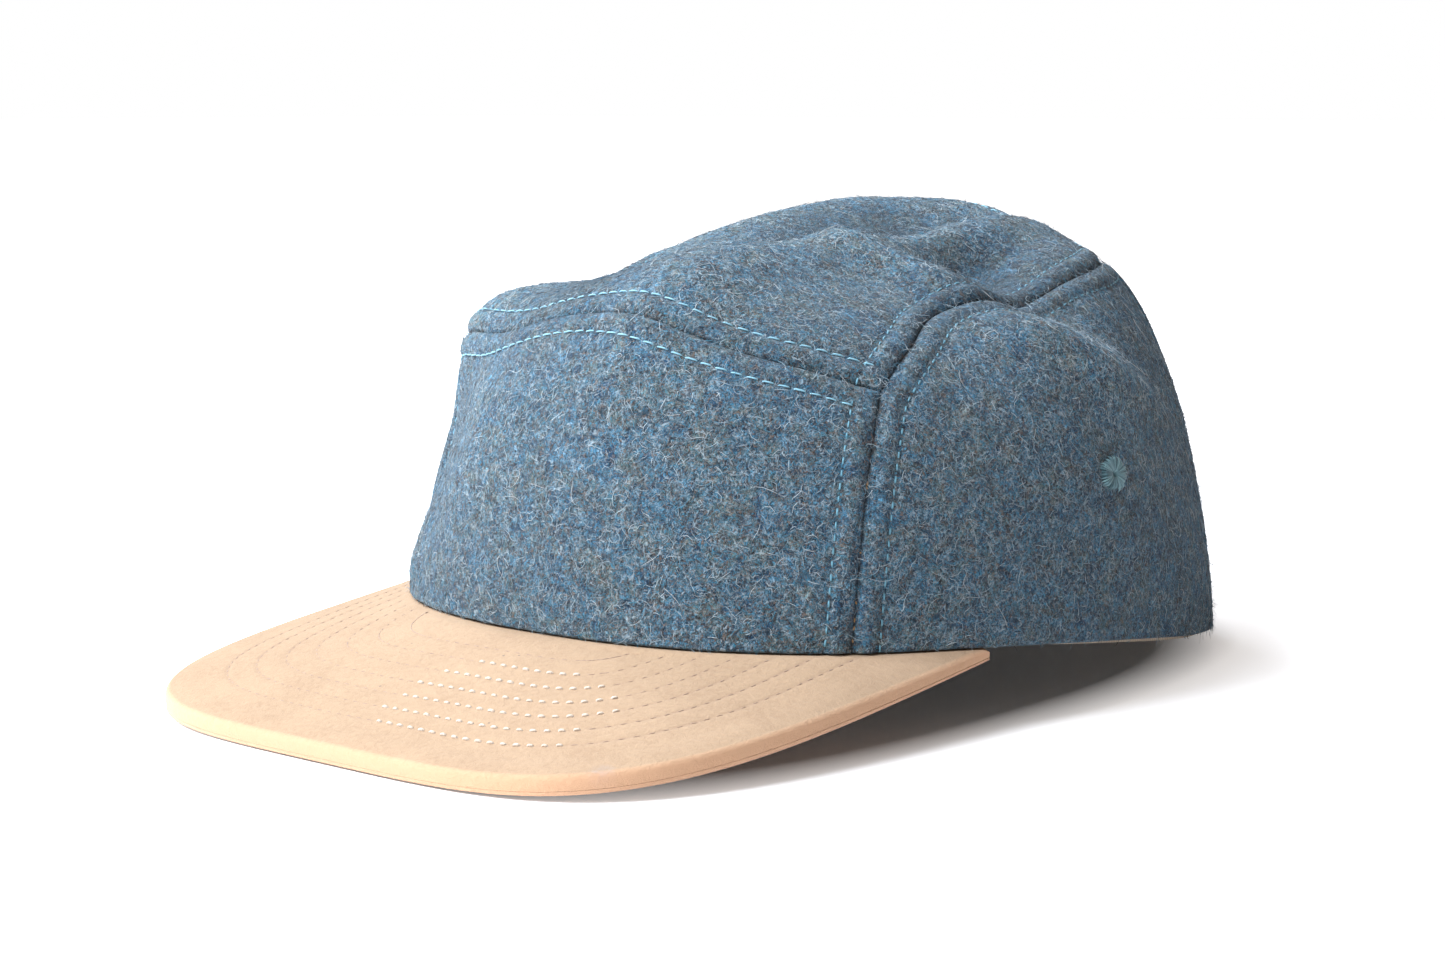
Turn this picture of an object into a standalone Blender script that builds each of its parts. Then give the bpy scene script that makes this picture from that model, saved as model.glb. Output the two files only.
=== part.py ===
# Five-panel cap: a soft wool crown of five panels on a flat suede peak.
# Metres, +Z up. The peak points to -Y, the wearer's left side is +X, and the cap
# stands as it rests by itself: on the peak's front rim and the crown's rear edge.

import math

import bmesh
import bpy
import numpy as np
from mathutils import Vector

# Crown, measured on the outside of the wool
CROWN_HALF_WIDTH = 0.0885
CROWN_FRONT_REACH = 0.0995
CROWN_BACK_REACH = 0.1055
CROWN_HEIGHT = 0.108
FRONT_ROUNDNESS = 2.24
BACK_ROUNDNESS = 2.35
BROW_LIFT = 0.0203
WOOL_WALL = 0.0022
CLEARANCE = 0.0003

# Crown sections, one row for each direction seen from above: 0 is the forehead,
# 90 the temple and 180 the nape. "lift" is a share of BROW_LIFT, each "out" a share
# of the base's reach in that direction, and each "up" a share of CROWN_HEIGHT.
# "pull" is how hard the section is drawn into its upper corner.
SECTION_COLUMNS = ("azimuth", "lift", "wall_out", "wall_up", "edge_out", "edge_up",
                   "pull", "crest_out", "crest_up")
SECTIONS = (
    (0, 1.00, 1.00, 0.42, 0.94, 0.87, 0.8, 0.75, 1.09),
    (35, 0.97, 0.96, 0.40, 0.90, 0.79, 1.4, 0.71, 0.89),
    (65, 0.90, 0.97, 0.38, 0.94, 0.72, 1.3, 0.75, 0.81),
    (90, 0.72, 1.02, 0.36, 0.98, 0.74, 1.0, 0.79, 0.93),
    (125, 0.37, 0.99, 0.33, 0.90, 0.79, 0.5, 0.77, 1.06),
    (155, 0.08, 0.98, 0.36, 0.93, 0.91, 1.0, 0.80, 1.17),
    (180, 0.00, 1.00, 0.38, 0.95, 0.88, 1.2, 0.77, 1.14),
)
# Middle of the top: its height as a share of CROWN_HEIGHT, how steeply it climbs
# towards the nape, and the share of the reach over which it is nearly flat
TOP_UP = 0.995
TOP_TILT = 0.05
TOP_FLAT = 0.35

# Dents and swells of the soft crown. Places and half sizes are shares of the chart
# below, headings turn from lengthwise towards the left, and "rise" is a share of
# SOFT_DEPTH, outwards where it is positive.
SOFT_DEPTH = 0.008
FORM_COLUMNS = ("name", "across", "along", "heading", "half_length", "half_width", "rise")
FORMS = (
    ("top valley", -0.03, 0.02, 0, 0.41, 0.185, -1.78),
    ("left ridge", 0.10, 0.01, 0, 0.44, 0.075, 1.17),
    ("left sag", 0.26, 0.10, 0, 0.35, 0.20, -0.34),
    ("left rear dent", 0.26, 0.12, 78, 0.15, 0.11, -1.30),
    ("left rear fold", 0.20, -0.06, 80, 0.14, 0.05, 0.50),
    ("left rear sag", 0.16, 0.22, 0, 0.20, 0.14, -0.46),
    ("left side valley", 0.43, 0.09, 25, 0.18, 0.06, -0.55),
    ("left side fold", 0.50, 0.00, 45, 0.13, 0.05, 0.35),
    ("left side crease", 0.575, 0.17, 5, 0.16, 0.05, 0.30),
    ("right brow swell", -0.35, -0.37, 45, 0.13, 0.12, 1.00),
    ("right waist", -0.44, -0.63, 45, 0.20, 0.15, -0.60),
    ("right foot swell", -0.57, -0.80, 45, 0.22, 0.08, 0.45),
    ("right crest", -0.115, 0.43, 34, 0.29, 0.09, 1.06),
    ("back rim", -0.04, 0.51, 72, 0.16, 0.093, 1.25),
)
# Share of a section over which the forms fade out above the level lower edge
FOOT_FADE = 0.05

# Seams, as places in the chart of the crown: a disc seen from above, whose rim is
# the crown's lower edge and whose middle is the top. "across" is to the left.
FRONT_SEAM_AZIMUTH = 44.0
BACK_SEAM_AZIMUTH = 142.0
TEMPLE_ACROSS = 0.44
TEMPLE_ALONG = -0.37
NAPE_ACROSS = 0.24
NAPE_ALONG = 0.43
FRONT_SEAM_BOW = 0.155
BACK_SEAM_BOW = 0.07
# Seam between side and top, from temple to nape: share of the way, share across
SIDE_SEAM = ((0.00, 0.00), (0.15, 0.26), (0.31, 0.52), (0.42, 0.40), (0.56, 0.27),
             (0.72, 0.32), (0.87, 0.58), (1.00, 1.00))

# Peak
PEAK_CORNER_AZIMUTH = 63.5
PEAK_LENGTH = 0.1145
PEAK_SQUARENESS = 4.1
# How far the soft peak leans to the right at its front
PEAK_LEAN = 0.0055
PEAK_TOP_LAYER = 0.0028
PEAK_UNDER_LAYER = 0.0012
PEAK_TUCK = 0.0042
# How much thinner the layers are where the peak ends in the crown's seam
PEAK_THINNING = 0.45

# Sweatband
BAND_WALL = 0.0012
BAND_HEIGHT = 0.030
BAND_REVEAL = 0.0010
BAND_CLEARANCE = 0.0006

# Nape opening, strap and clasp
ARCH_HALF_WIDTH = 0.032
ARCH_HEIGHT = 0.040
ARCH_LEG = 0.014
STRAP_WALL = 0.0018
STRAP_HEIGHT = 0.018
STRAP_LIFT = 0.003
STRAP_OVERLAP = 0.016
CLASP_WIDTH = 0.022
CLASP_METAL = 0.0012

# Eyelets
EYELET_ACROSS = 0.737
EYELET_ALONG = 0.010
EYELET_DIAMETER = 0.0086
EYELET_HOLE = 0.0022
EYELET_THICK = 0.0010

# Mesh steps
STEPS_ACROSS = 24
STEPS_LENGTH = 24
STEPS_UP = 12
STEPS_BAND = 40
STEPS_PEAK = 30

WOOL = ("wool", (0.105, 0.165, 0.205), 0.95, 0.0)
SUEDE = ("suede", (0.78, 0.56, 0.38), 0.90, 0.0)
SUEDE_UNDER = ("suede_under", (0.66, 0.42, 0.31), 0.90, 0.0)
BAND_CLOTH = ("band_cloth", (0.60, 0.47, 0.34), 0.90, 0.0)
THREAD = ("thread", (0.25, 0.36, 0.40), 0.70, 0.0)
STRAP_SUEDE = ("strap_suede", (0.74, 0.53, 0.36), 0.90, 0.0)
CLASP_BRASS = ("clasp_brass", (0.60, 0.47, 0.27), 0.35, 1.0)


def clear_scene():
    for item in list(bpy.data.objects):
        bpy.data.objects.remove(item, do_unlink=True)


def make_material(settings):
    name, colour, roughness, metallic = settings
    material = bpy.data.materials.get(name) or bpy.data.materials.new(name)
    material.use_nodes = True
    shader = material.node_tree.nodes["Principled BSDF"]
    shader.inputs["Base Color"].default_value = (*colour, 1.0)
    shader.inputs["Roughness"].default_value = roughness
    shader.inputs["Metallic"].default_value = metallic
    return material


def add_object(name, bm, settings):
    bmesh.ops.remove_doubles(bm, verts=bm.verts, dist=1e-7)
    bmesh.ops.recalc_face_normals(bm, faces=bm.faces)
    mesh = bpy.data.meshes.new(name)
    bm.to_mesh(mesh)
    bm.free()
    mesh.shade_smooth()
    mesh.set_sharp_from_angle(angle=math.radians(40))
    item = bpy.data.objects.new(name, mesh)
    item.data.materials.append(make_material(settings))
    bpy.context.scene.collection.objects.link(item)
    return item


# Crown surface

def smooth_through(where, knots, values):
    """A smooth curve through a table's rows, with slopes taken from their neighbours."""
    knots = np.asarray(knots, dtype=float)
    values = np.asarray(values, dtype=float)
    slopes = np.gradient(values, knots)
    index = np.clip(np.searchsorted(knots, where, side="right") - 1, 0, len(knots) - 2)
    step = knots[index + 1] - knots[index]
    s = (where - knots[index]) / step
    return (values[index] * (1 + 2 * s) * (1 - s) ** 2
            + slopes[index] * step * s * (1 - s) ** 2
            + values[index + 1] * s * s * (3 - 2 * s)
            + slopes[index + 1] * step * s * s * (s - 1))


def section_value(azimuth, column):
    """A column of SECTIONS at any azimuth, the same on the left and on the right."""
    rows = [(row[0], row[SECTION_COLUMNS.index(column)]) for row in SECTIONS]
    before = (-rows[1][0], rows[1][1])
    after = (360 - rows[-2][0], rows[-2][1])
    rows = [before] + rows + [after]
    return smooth_through(np.abs(azimuth), [row[0] for row in rows], [row[1] for row in rows])


def base_reach(azimuth):
    turn = np.radians(azimuth)
    front = np.cos(turn) >= 0
    reach = np.where(front, CROWN_FRONT_REACH, CROWN_BACK_REACH)
    power = np.where(front, FRONT_ROUNDNESS, BACK_ROUNDNESS)
    oval = np.abs(np.sin(turn) / CROWN_HALF_WIDTH) ** power + np.abs(np.cos(turn) / reach) ** power
    return oval ** (-1 / power)


def base_up(azimuth):
    return BROW_LIFT * section_value(azimuth, "lift")


def plain_crown(azimuth, rise):
    """The crown without its dents. "rise" goes from 0 at the lower edge to 1 at the top."""
    turn = np.radians(azimuth)
    reach = base_reach(azimuth)
    tilt_up = TOP_TILT * TOP_FLAT * reach * np.cos(turn) / CROWN_HEIGHT
    outs = (1.0, section_value(azimuth, "wall_out"), section_value(azimuth, "edge_out"),
            section_value(azimuth, "crest_out"), TOP_FLAT, 0.0)
    ups = (base_up(azimuth) / CROWN_HEIGHT, section_value(azimuth, "wall_up"),
           section_value(azimuth, "edge_up"), section_value(azimuth, "crest_up"),
           TOP_UP - tilt_up, TOP_UP)
    weights = [math.comb(5, k) * rise ** k * (1 - rise) ** (5 - k) for k in range(6)]
    weights[2] = weights[2] * section_value(azimuth, "pull")
    total = sum(weights)
    out = reach * sum(w * value for w, value in zip(weights, outs)) / total
    up = CROWN_HEIGHT * sum(w * value for w, value in zip(weights, ups)) / total
    return np.stack([out * np.sin(turn), -out * np.cos(turn), up], axis=-1)


def chart_to_section(across, along):
    return np.degrees(np.arctan2(across, -along)), 1 - np.hypot(across, along)


def normals_of(surface, across, along):
    step = 1e-3
    by_across = surface(across + step, along) - surface(across - step, along)
    by_along = surface(across, along + step) - surface(across, along - step)
    normal = np.cross(by_across, by_along)
    return normal / np.linalg.norm(normal, axis=-1, keepdims=True)


def plain_at(across, along):
    return plain_crown(*chart_to_section(across, along))


def soft_rise(across, along):
    total = np.zeros_like(across)
    for name, mid_across, mid_along, heading, half_length, half_width, rise in FORMS:
        turn = math.radians(heading)
        lengthwise = (across - mid_across) * math.sin(turn) + (along - mid_along) * math.cos(turn)
        sideways = (across - mid_across) * math.cos(turn) - (along - mid_along) * math.sin(turn)
        total += rise * np.exp(-(lengthwise / half_length) ** 2 - (sideways / half_width) ** 2)
    rise = chart_to_section(across, along)[1]
    return SOFT_DEPTH * total * (1 - np.exp(-(rise / FOOT_FADE) ** 2))


def crown_at(across, along):
    """The crown's outer surface at a place in the chart."""
    push = soft_rise(across, along)[..., None]
    return plain_at(across, along) + push * normals_of(plain_at, across, along)


def crown_layer(across, along, inset):
    """The surface that lies "inset" inside the crown, level where it meets the lower edge."""
    normal = normals_of(crown_at, across, along)
    rise = chart_to_section(across, along)[1]
    normal[..., 2] *= 1 - np.exp(-(np.maximum(rise, 0) / FOOT_FADE) ** 2)
    normal /= np.linalg.norm(normal, axis=-1, keepdims=True)
    return crown_at(across, along) - inset * normal


def section_to_chart(azimuth, rise):
    turn = np.radians(azimuth)
    return (1 - rise) * np.sin(turn), -(1 - rise) * np.cos(turn)


def rise_for_height(azimuth, height):
    """How far up its section a point lies that is "height" above the lower edge."""
    tries = np.linspace(-0.1, 0.6, 141)
    found = []
    for one_azimuth, one_height in zip(azimuth, height):
        points = crown_at(*section_to_chart(one_azimuth, tries))
        foot = crown_at(*section_to_chart(one_azimuth, np.zeros(1)))[0, 2]
        found.append(np.interp(one_height, points[:, 2] - foot, tries))
    return np.array(found)


# Solids made from grids of points

def solid_from_layers(outer, inner):
    """Closes two grids of the same shape into one body."""
    rows, columns = outer.shape[:2]
    bm = bmesh.new()
    sheets = []
    for layer in (outer, inner):
        sheets.append([[bm.verts.new(layer[i, j]) for j in range(columns)] for i in range(rows)])
    top, bottom = sheets
    for i in range(rows - 1):
        for j in range(columns - 1):
            bm.faces.new((top[i][j], top[i][j + 1], top[i + 1][j + 1], top[i + 1][j]))
            bm.faces.new((bottom[i][j], bottom[i + 1][j], bottom[i + 1][j + 1], bottom[i][j + 1]))
    rim = [(0, j) for j in range(columns)] + [(i, columns - 1) for i in range(1, rows)]
    rim += [(rows - 1, j) for j in range(columns - 2, -1, -1)] + [(i, 0) for i in range(rows - 2, 0, -1)]
    for (i, j), (k, m) in zip(rim, rim[1:] + rim[:1]):
        bm.faces.new((top[k][m], top[i][j], bottom[i][j], bottom[k][m]))
    return bm


# Panels

def line(start, end):
    def at(s):
        return np.stack([start[0] + (end[0] - start[0]) * s, start[1] + (end[1] - start[1]) * s], -1)
    return at


def base_arc(start, end):
    def at(s):
        return np.stack(section_to_chart(start + (end - start) * s, 0), -1)
    return at


def foot(azimuth):
    return section_to_chart(azimuth, 0)


def mirrored(curve):
    def at(s):
        return curve(s) * np.array([-1, 1])
    return at


def front_seam(s):
    """Between front and top, from the right temple to the left."""
    across = TEMPLE_ACROSS * (2 * s - 1)
    along = TEMPLE_ALONG - FRONT_SEAM_BOW * (1 - np.abs(2 * s - 1) ** 2.2)
    return np.stack([across, along], -1)


def back_seam(s):
    """Between top and back, from the right to the left."""
    across = NAPE_ACROSS * (2 * s - 1)
    along = NAPE_ALONG + BACK_SEAM_BOW * (1 - (2 * s - 1) ** 2)
    return np.stack([across, along], -1)


def side_seam(s):
    """Between the left side and the top, from temple to nape."""
    share = smooth_through(s, [row[0] for row in SIDE_SEAM], [row[1] for row in SIDE_SEAM])
    across = TEMPLE_ACROSS + (NAPE_ACROSS - TEMPLE_ACROSS) * share
    return np.stack([across, TEMPLE_ALONG + (NAPE_ALONG - TEMPLE_ALONG) * s], -1)


temple_seam = line(foot(FRONT_SEAM_AZIMUTH), (TEMPLE_ACROSS, TEMPLE_ALONG))
nape_seam = line(foot(BACK_SEAM_AZIMUTH), (NAPE_ACROSS, NAPE_ALONG))


def blend(low, high, left, right, u, v):
    """A patch between four curves that meet at its corners."""
    zero, one = np.zeros_like(u), np.ones_like(u)
    a, b = u[..., None], v[..., None]
    corners = ((1 - a) * (1 - b) * low(zero) + a * (1 - b) * low(one)
               + (1 - a) * b * high(zero) + a * b * high(one))
    return (1 - b) * low(u) + b * high(u) + (1 - a) * left(v) + a * right(v) - corners


def side_of(grid, axis):
    """The length of each line of a grid of points along one axis."""
    return np.linalg.norm(np.diff(grid, axis=axis), axis=-1).sum(axis=axis)


def panel(name, low, high, left, right, columns, rows, low_is_seam):
    """One wool panel, short of each seam by half the clearance."""
    u, v = np.meshgrid(np.linspace(0, 1, columns + 1), np.linspace(0, 1, rows + 1))
    chart = blend(low, high, left, right, u, v)
    rough = crown_at(chart[..., 0], chart[..., 1])
    short_u = (CLEARANCE / 2 / side_of(rough, 1))[:, None]
    short_v = (CLEARANCE / 2 / side_of(rough, 0))[None, :]
    low_v = short_v if low_is_seam else 0 * short_v
    inner_u = short_u + (1 - 2 * short_u) * u
    inner_v = low_v + (1 - low_v - short_v) * v
    chart = blend(low, high, left, right, inner_u, inner_v)
    outer = crown_layer(chart[..., 0], chart[..., 1], 0)
    inner = crown_layer(chart[..., 0], chart[..., 1], WOOL_WALL)
    return add_object(name, solid_from_layers(outer, inner), WOOL)


def make_panels():
    front = panel("front_panel", base_arc(-FRONT_SEAM_AZIMUTH, FRONT_SEAM_AZIMUTH), front_seam,
                  mirrored(temple_seam), temple_seam, STEPS_ACROSS, STEPS_UP, False)
    top = panel("top_panel", front_seam, back_seam, mirrored(side_seam), side_seam,
                STEPS_ACROSS, STEPS_LENGTH, True)
    left_base = base_arc(FRONT_SEAM_AZIMUTH, BACK_SEAM_AZIMUTH)
    left = panel("side_panel_left", left_base, side_seam, temple_seam, nape_seam,
                 STEPS_LENGTH, STEPS_UP, False)
    right = panel("side_panel_right", mirrored(left_base), mirrored(side_seam),
                  mirrored(temple_seam), mirrored(nape_seam), STEPS_LENGTH, STEPS_UP, False)
    back = panel("back_panel", base_arc(-BACK_SEAM_AZIMUTH, -360 + BACK_SEAM_AZIMUTH), back_seam,
                 mirrored(nape_seam), nape_seam, STEPS_ACROSS, STEPS_UP, False)
    return {"front": front, "top": top, "left": left, "right": right, "back": back}


# Peak

def peak_grid():
    """The peak's top surface from the tuck under the crown out to the rim, and how thick it is."""
    share = np.linspace(0, 1, STEPS_PEAK + 1)
    azimuth = PEAK_CORNER_AZIMUTH * (1 - 2 * share)
    turn = np.radians(azimuth)
    reach = base_reach(azimuth)
    seat = base_up(azimuth) - CLEARANCE
    outward = np.stack([np.sin(turn), -np.cos(turn)], -1)
    root = np.column_stack([outward * reach[:, None], seat])
    tuck = np.column_stack([outward * (reach - PEAK_TUCK)[:, None], seat])

    # The rim is a squared oval from corner to corner, stepped by equal lengths
    angle = np.linspace(0, math.pi, 721)
    half_width = root[0, 0]
    x = half_width * np.sign(np.cos(angle)) * np.abs(np.cos(angle)) ** (2 / PEAK_SQUARENESS)
    forward = np.abs(np.sin(angle)) ** (2 / PEAK_SQUARENESS)
    run = np.concatenate([[0], np.cumsum(np.hypot(np.diff(x), PEAK_LENGTH * np.diff(forward)))])
    even = share * run[-1]
    rim_x = np.interp(even, run, x)
    rim_forward = np.interp(even, run, forward)
    rim_forward[[0, -1]] = 0
    front_top = PEAK_UNDER_LAYER + CLEARANCE + PEAK_TOP_LAYER
    rim_z = seat[0] + (front_top - seat[0]) * rim_forward
    lean = PEAK_LEAN * rim_forward
    rim = np.column_stack([rim_x - lean, root[0, 1] - PEAK_LENGTH * rim_forward, rim_z])
    top = np.stack([tuck, root, root + (rim - root) / 3, root + (rim - root) * 2 / 3, rim])
    return top, 1 - PEAK_THINNING * (1 - rim_forward) ** 2


def make_peak():
    top, fullness = peak_grid()
    down = np.stack([0 * fullness, 0 * fullness, -fullness], -1)
    low = top + PEAK_TOP_LAYER * down
    under = low - np.array([0, 0, CLEARANCE])
    add_object("peak_top", solid_from_layers(top, low), SUEDE)
    add_object("peak_under", solid_from_layers(under, under + PEAK_UNDER_LAYER * down), SUEDE_UNDER)


# Bands inside the crown

def band_points(azimuth, height, inset):
    rise = rise_for_height(azimuth, height)
    return crown_layer(*section_to_chart(azimuth, rise), inset)


def band(name, azimuth, low, high, inset, wall, rows, settings):
    """A flat band that follows the crown's inside between two heights above its edge."""
    shares = np.linspace(0, 1, rows + 1) ** 1.4
    outer = np.stack([band_points(azimuth, low + (high - low) * s, inset) for s in shares])
    inner = np.stack([band_points(azimuth, low + (high - low) * s, inset + wall) for s in shares])
    return add_object(name, solid_from_layers(outer, inner), settings)


def strap_reach():
    """Azimuth from the nape at which the strap ends, beyond the opening's side."""
    return math.degrees((ARCH_HALF_WIDTH + STRAP_OVERLAP) / CROWN_BACK_REACH)


def make_sweatband():
    end = 180 - strap_reach() - math.degrees(4 * CLEARANCE / CROWN_BACK_REACH)
    azimuth = np.linspace(-end, end, STEPS_BAND + 1)
    past_peak = np.clip((np.abs(azimuth) - PEAK_CORNER_AZIMUTH) / (end - PEAK_CORNER_AZIMUTH), 0, 1)
    low = -BAND_REVEAL * np.sin(math.pi * past_peak)
    high = np.full_like(azimuth, BAND_HEIGHT)
    inset = WOOL_WALL + BAND_CLEARANCE
    return band("sweatband", azimuth, low, high, inset, BAND_WALL, 4, BAND_CLOTH)


def make_strap():
    azimuth = np.linspace(180 - strap_reach(), 180 + strap_reach(), 17)
    low = np.full_like(azimuth, STRAP_LIFT)
    high = low + STRAP_HEIGHT
    inset = WOOL_WALL + CLEARANCE
    return band("strap", azimuth, low, high, inset, STRAP_WALL, 2, STRAP_SUEDE)


def make_clasp():
    """A flat loop of metal round the middle of the strap."""
    half_turn = math.degrees(CLASP_WIDTH / 2 / CROWN_BACK_REACH)
    azimuth = np.linspace(180 - half_turn, 180 + half_turn, 5)
    flat = np.ones_like(azimuth)
    strap_inset = WOOL_WALL + CLEARANCE
    loops = []
    for grow in (CLEARANCE + CLASP_METAL, CLEARANCE):
        low = flat * (STRAP_LIFT - grow)
        high = flat * (STRAP_LIFT + STRAP_HEIGHT + grow)
        near, far = strap_inset - grow, strap_inset + STRAP_WALL + grow
        corners = ((low, near), (high, near), (high, far), (low, far))
        loops.append([band_points(azimuth, height, inset) for height, inset in corners])
    bm = bmesh.new()
    rings = [[[bm.verts.new(corner[j]) for corner in loop] for j in range(len(azimuth))]
             for loop in loops]
    outer, inner = rings
    for j in range(len(azimuth) - 1):
        for k in range(4):
            n = (k + 1) % 4
            bm.faces.new((outer[j][k], outer[j][n], outer[j + 1][n], outer[j + 1][k]))
            bm.faces.new((inner[j][k], inner[j + 1][k], inner[j + 1][n], inner[j][n]))
    for j in (0, len(azimuth) - 1):
        for k in range(4):
            n = (k + 1) % 4
            bm.faces.new((outer[j][k], inner[j][k], inner[j][n], outer[j][n]))
    return add_object("clasp", bm, CLASP_BRASS)


def cut(item, cutter):
    cutter.hide_render = True
    cutter.display_type = "WIRE"
    modifier = item.modifiers.new(cutter.name, "BOOLEAN")
    modifier.operation = "DIFFERENCE"
    modifier.object = cutter


def cut_arch(back):
    """The arched opening at the nape, through the back panel."""
    low = -ARCH_HEIGHT / 2
    outline = [(-ARCH_HALF_WIDTH, low)]
    for turn in np.linspace(math.pi, 0, 19):
        outline.append((ARCH_HALF_WIDTH * math.cos(turn),
                        ARCH_LEG + (ARCH_HEIGHT - ARCH_LEG) * math.sin(turn)))
    outline.append((ARCH_HALF_WIDTH, low))
    bm = bmesh.new()
    face = bm.faces.new([bm.verts.new((x, CROWN_BACK_REACH / 2, z)) for x, z in outline])
    sweep = bmesh.ops.extrude_face_region(bm, geom=[face])
    moved = [part for part in sweep["geom"] if isinstance(part, bmesh.types.BMVert)]
    bmesh.ops.translate(bm, verts=moved, vec=(0, CROWN_BACK_REACH, 0))
    cut(back, add_object("arch_cutter", bm, WOOL))


# Eyelets

def eyelet_mesh():
    """A turned ring with a rounded outer face."""
    bm = bmesh.new()
    inner, outer = EYELET_HOLE / 2, EYELET_DIAMETER / 2
    half = EYELET_THICK / 2
    profile = ((inner, -half), (outer, -half), (outer, 0), (outer - half, half),
               (inner + half, half), (inner, 0))
    sides = 20
    rings = []
    for k in range(sides):
        turn = 2 * math.pi * k / sides
        rings.append([bm.verts.new((r * math.cos(turn), r * math.sin(turn), z)) for r, z in profile])
    for k in range(sides):
        this, following = rings[k], rings[(k + 1) % sides]
        for n in range(len(profile)):
            m = (n + 1) % len(profile)
            bm.faces.new((this[n], following[n], following[m], this[m]))
    return bm


def make_eyelet(name, side, wall_panel):
    across = np.array([side * EYELET_ACROSS])
    along = np.array([EYELET_ALONG])
    point = Vector(crown_at(across, along)[0])
    outward = Vector(normals_of(crown_at, across, along)[0])
    ring = add_object(name, eyelet_mesh(), THREAD)
    ring.rotation_mode = "QUATERNION"
    ring.rotation_quaternion = outward.to_track_quat("Z", "Y")
    ring.location = point + outward * (CLEARANCE + EYELET_THICK / 2)
    bm = bmesh.new()
    bmesh.ops.create_cone(bm, cap_ends=True, segments=10, radius1=EYELET_HOLE / 2,
                          radius2=EYELET_HOLE / 2, depth=6 * WOOL_WALL)
    cutter = add_object(name + "_cutter", bm, WOOL)
    cutter.rotation_mode = "QUATERNION"
    cutter.rotation_quaternion = ring.rotation_quaternion
    cutter.location = point
    cut(wall_panel, cutter)


def stand_on_floor():
    """Puts the middle of the cap's footprint at the origin, with its lowest point at zero."""
    bpy.context.view_layer.update()
    corners = []
    for item in bpy.data.objects:
        if not item.hide_render:
            corners += [item.matrix_world @ vertex.co for vertex in item.data.vertices]
    points = np.array(corners)
    low, high = points.min(axis=0), points.max(axis=0)
    shift = Vector(((low[0] + high[0]) / -2, (low[1] + high[1]) / -2, -low[2]))
    for item in bpy.data.objects:
        item.location += shift


clear_scene()
panels = make_panels()
make_peak()
make_sweatband()
make_strap()
make_clasp()
cut_arch(panels["back"])
make_eyelet("eyelet_left", 1, panels["left"])
make_eyelet("eyelet_right", -1, panels["right"])
stand_on_floor()
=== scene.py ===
import math

import bpy
import numpy as np
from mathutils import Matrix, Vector


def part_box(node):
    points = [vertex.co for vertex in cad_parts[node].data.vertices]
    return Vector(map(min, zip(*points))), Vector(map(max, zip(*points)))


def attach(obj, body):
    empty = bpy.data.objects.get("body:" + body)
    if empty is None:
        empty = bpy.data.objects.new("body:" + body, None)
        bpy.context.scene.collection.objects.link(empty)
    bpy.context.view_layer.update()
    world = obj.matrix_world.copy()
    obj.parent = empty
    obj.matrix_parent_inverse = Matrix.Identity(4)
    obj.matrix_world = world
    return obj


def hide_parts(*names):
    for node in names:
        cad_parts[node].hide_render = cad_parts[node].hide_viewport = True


# Five-panel cap: a soft heathered wool crown on a flat suede peak.
# Metres, +Z up, the peak to -Y and the wearer's left side at +X.

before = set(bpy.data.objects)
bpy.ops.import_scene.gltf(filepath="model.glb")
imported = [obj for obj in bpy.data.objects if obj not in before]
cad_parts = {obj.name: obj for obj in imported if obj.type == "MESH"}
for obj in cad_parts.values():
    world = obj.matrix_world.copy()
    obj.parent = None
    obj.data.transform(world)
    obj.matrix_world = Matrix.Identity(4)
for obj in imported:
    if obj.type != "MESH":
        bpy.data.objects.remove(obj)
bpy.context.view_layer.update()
bpy.ops.object.select_all(action="DESELECT")
print("frame loaded")


# The crown's surface, worked out from the same sizes as its solids

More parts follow.
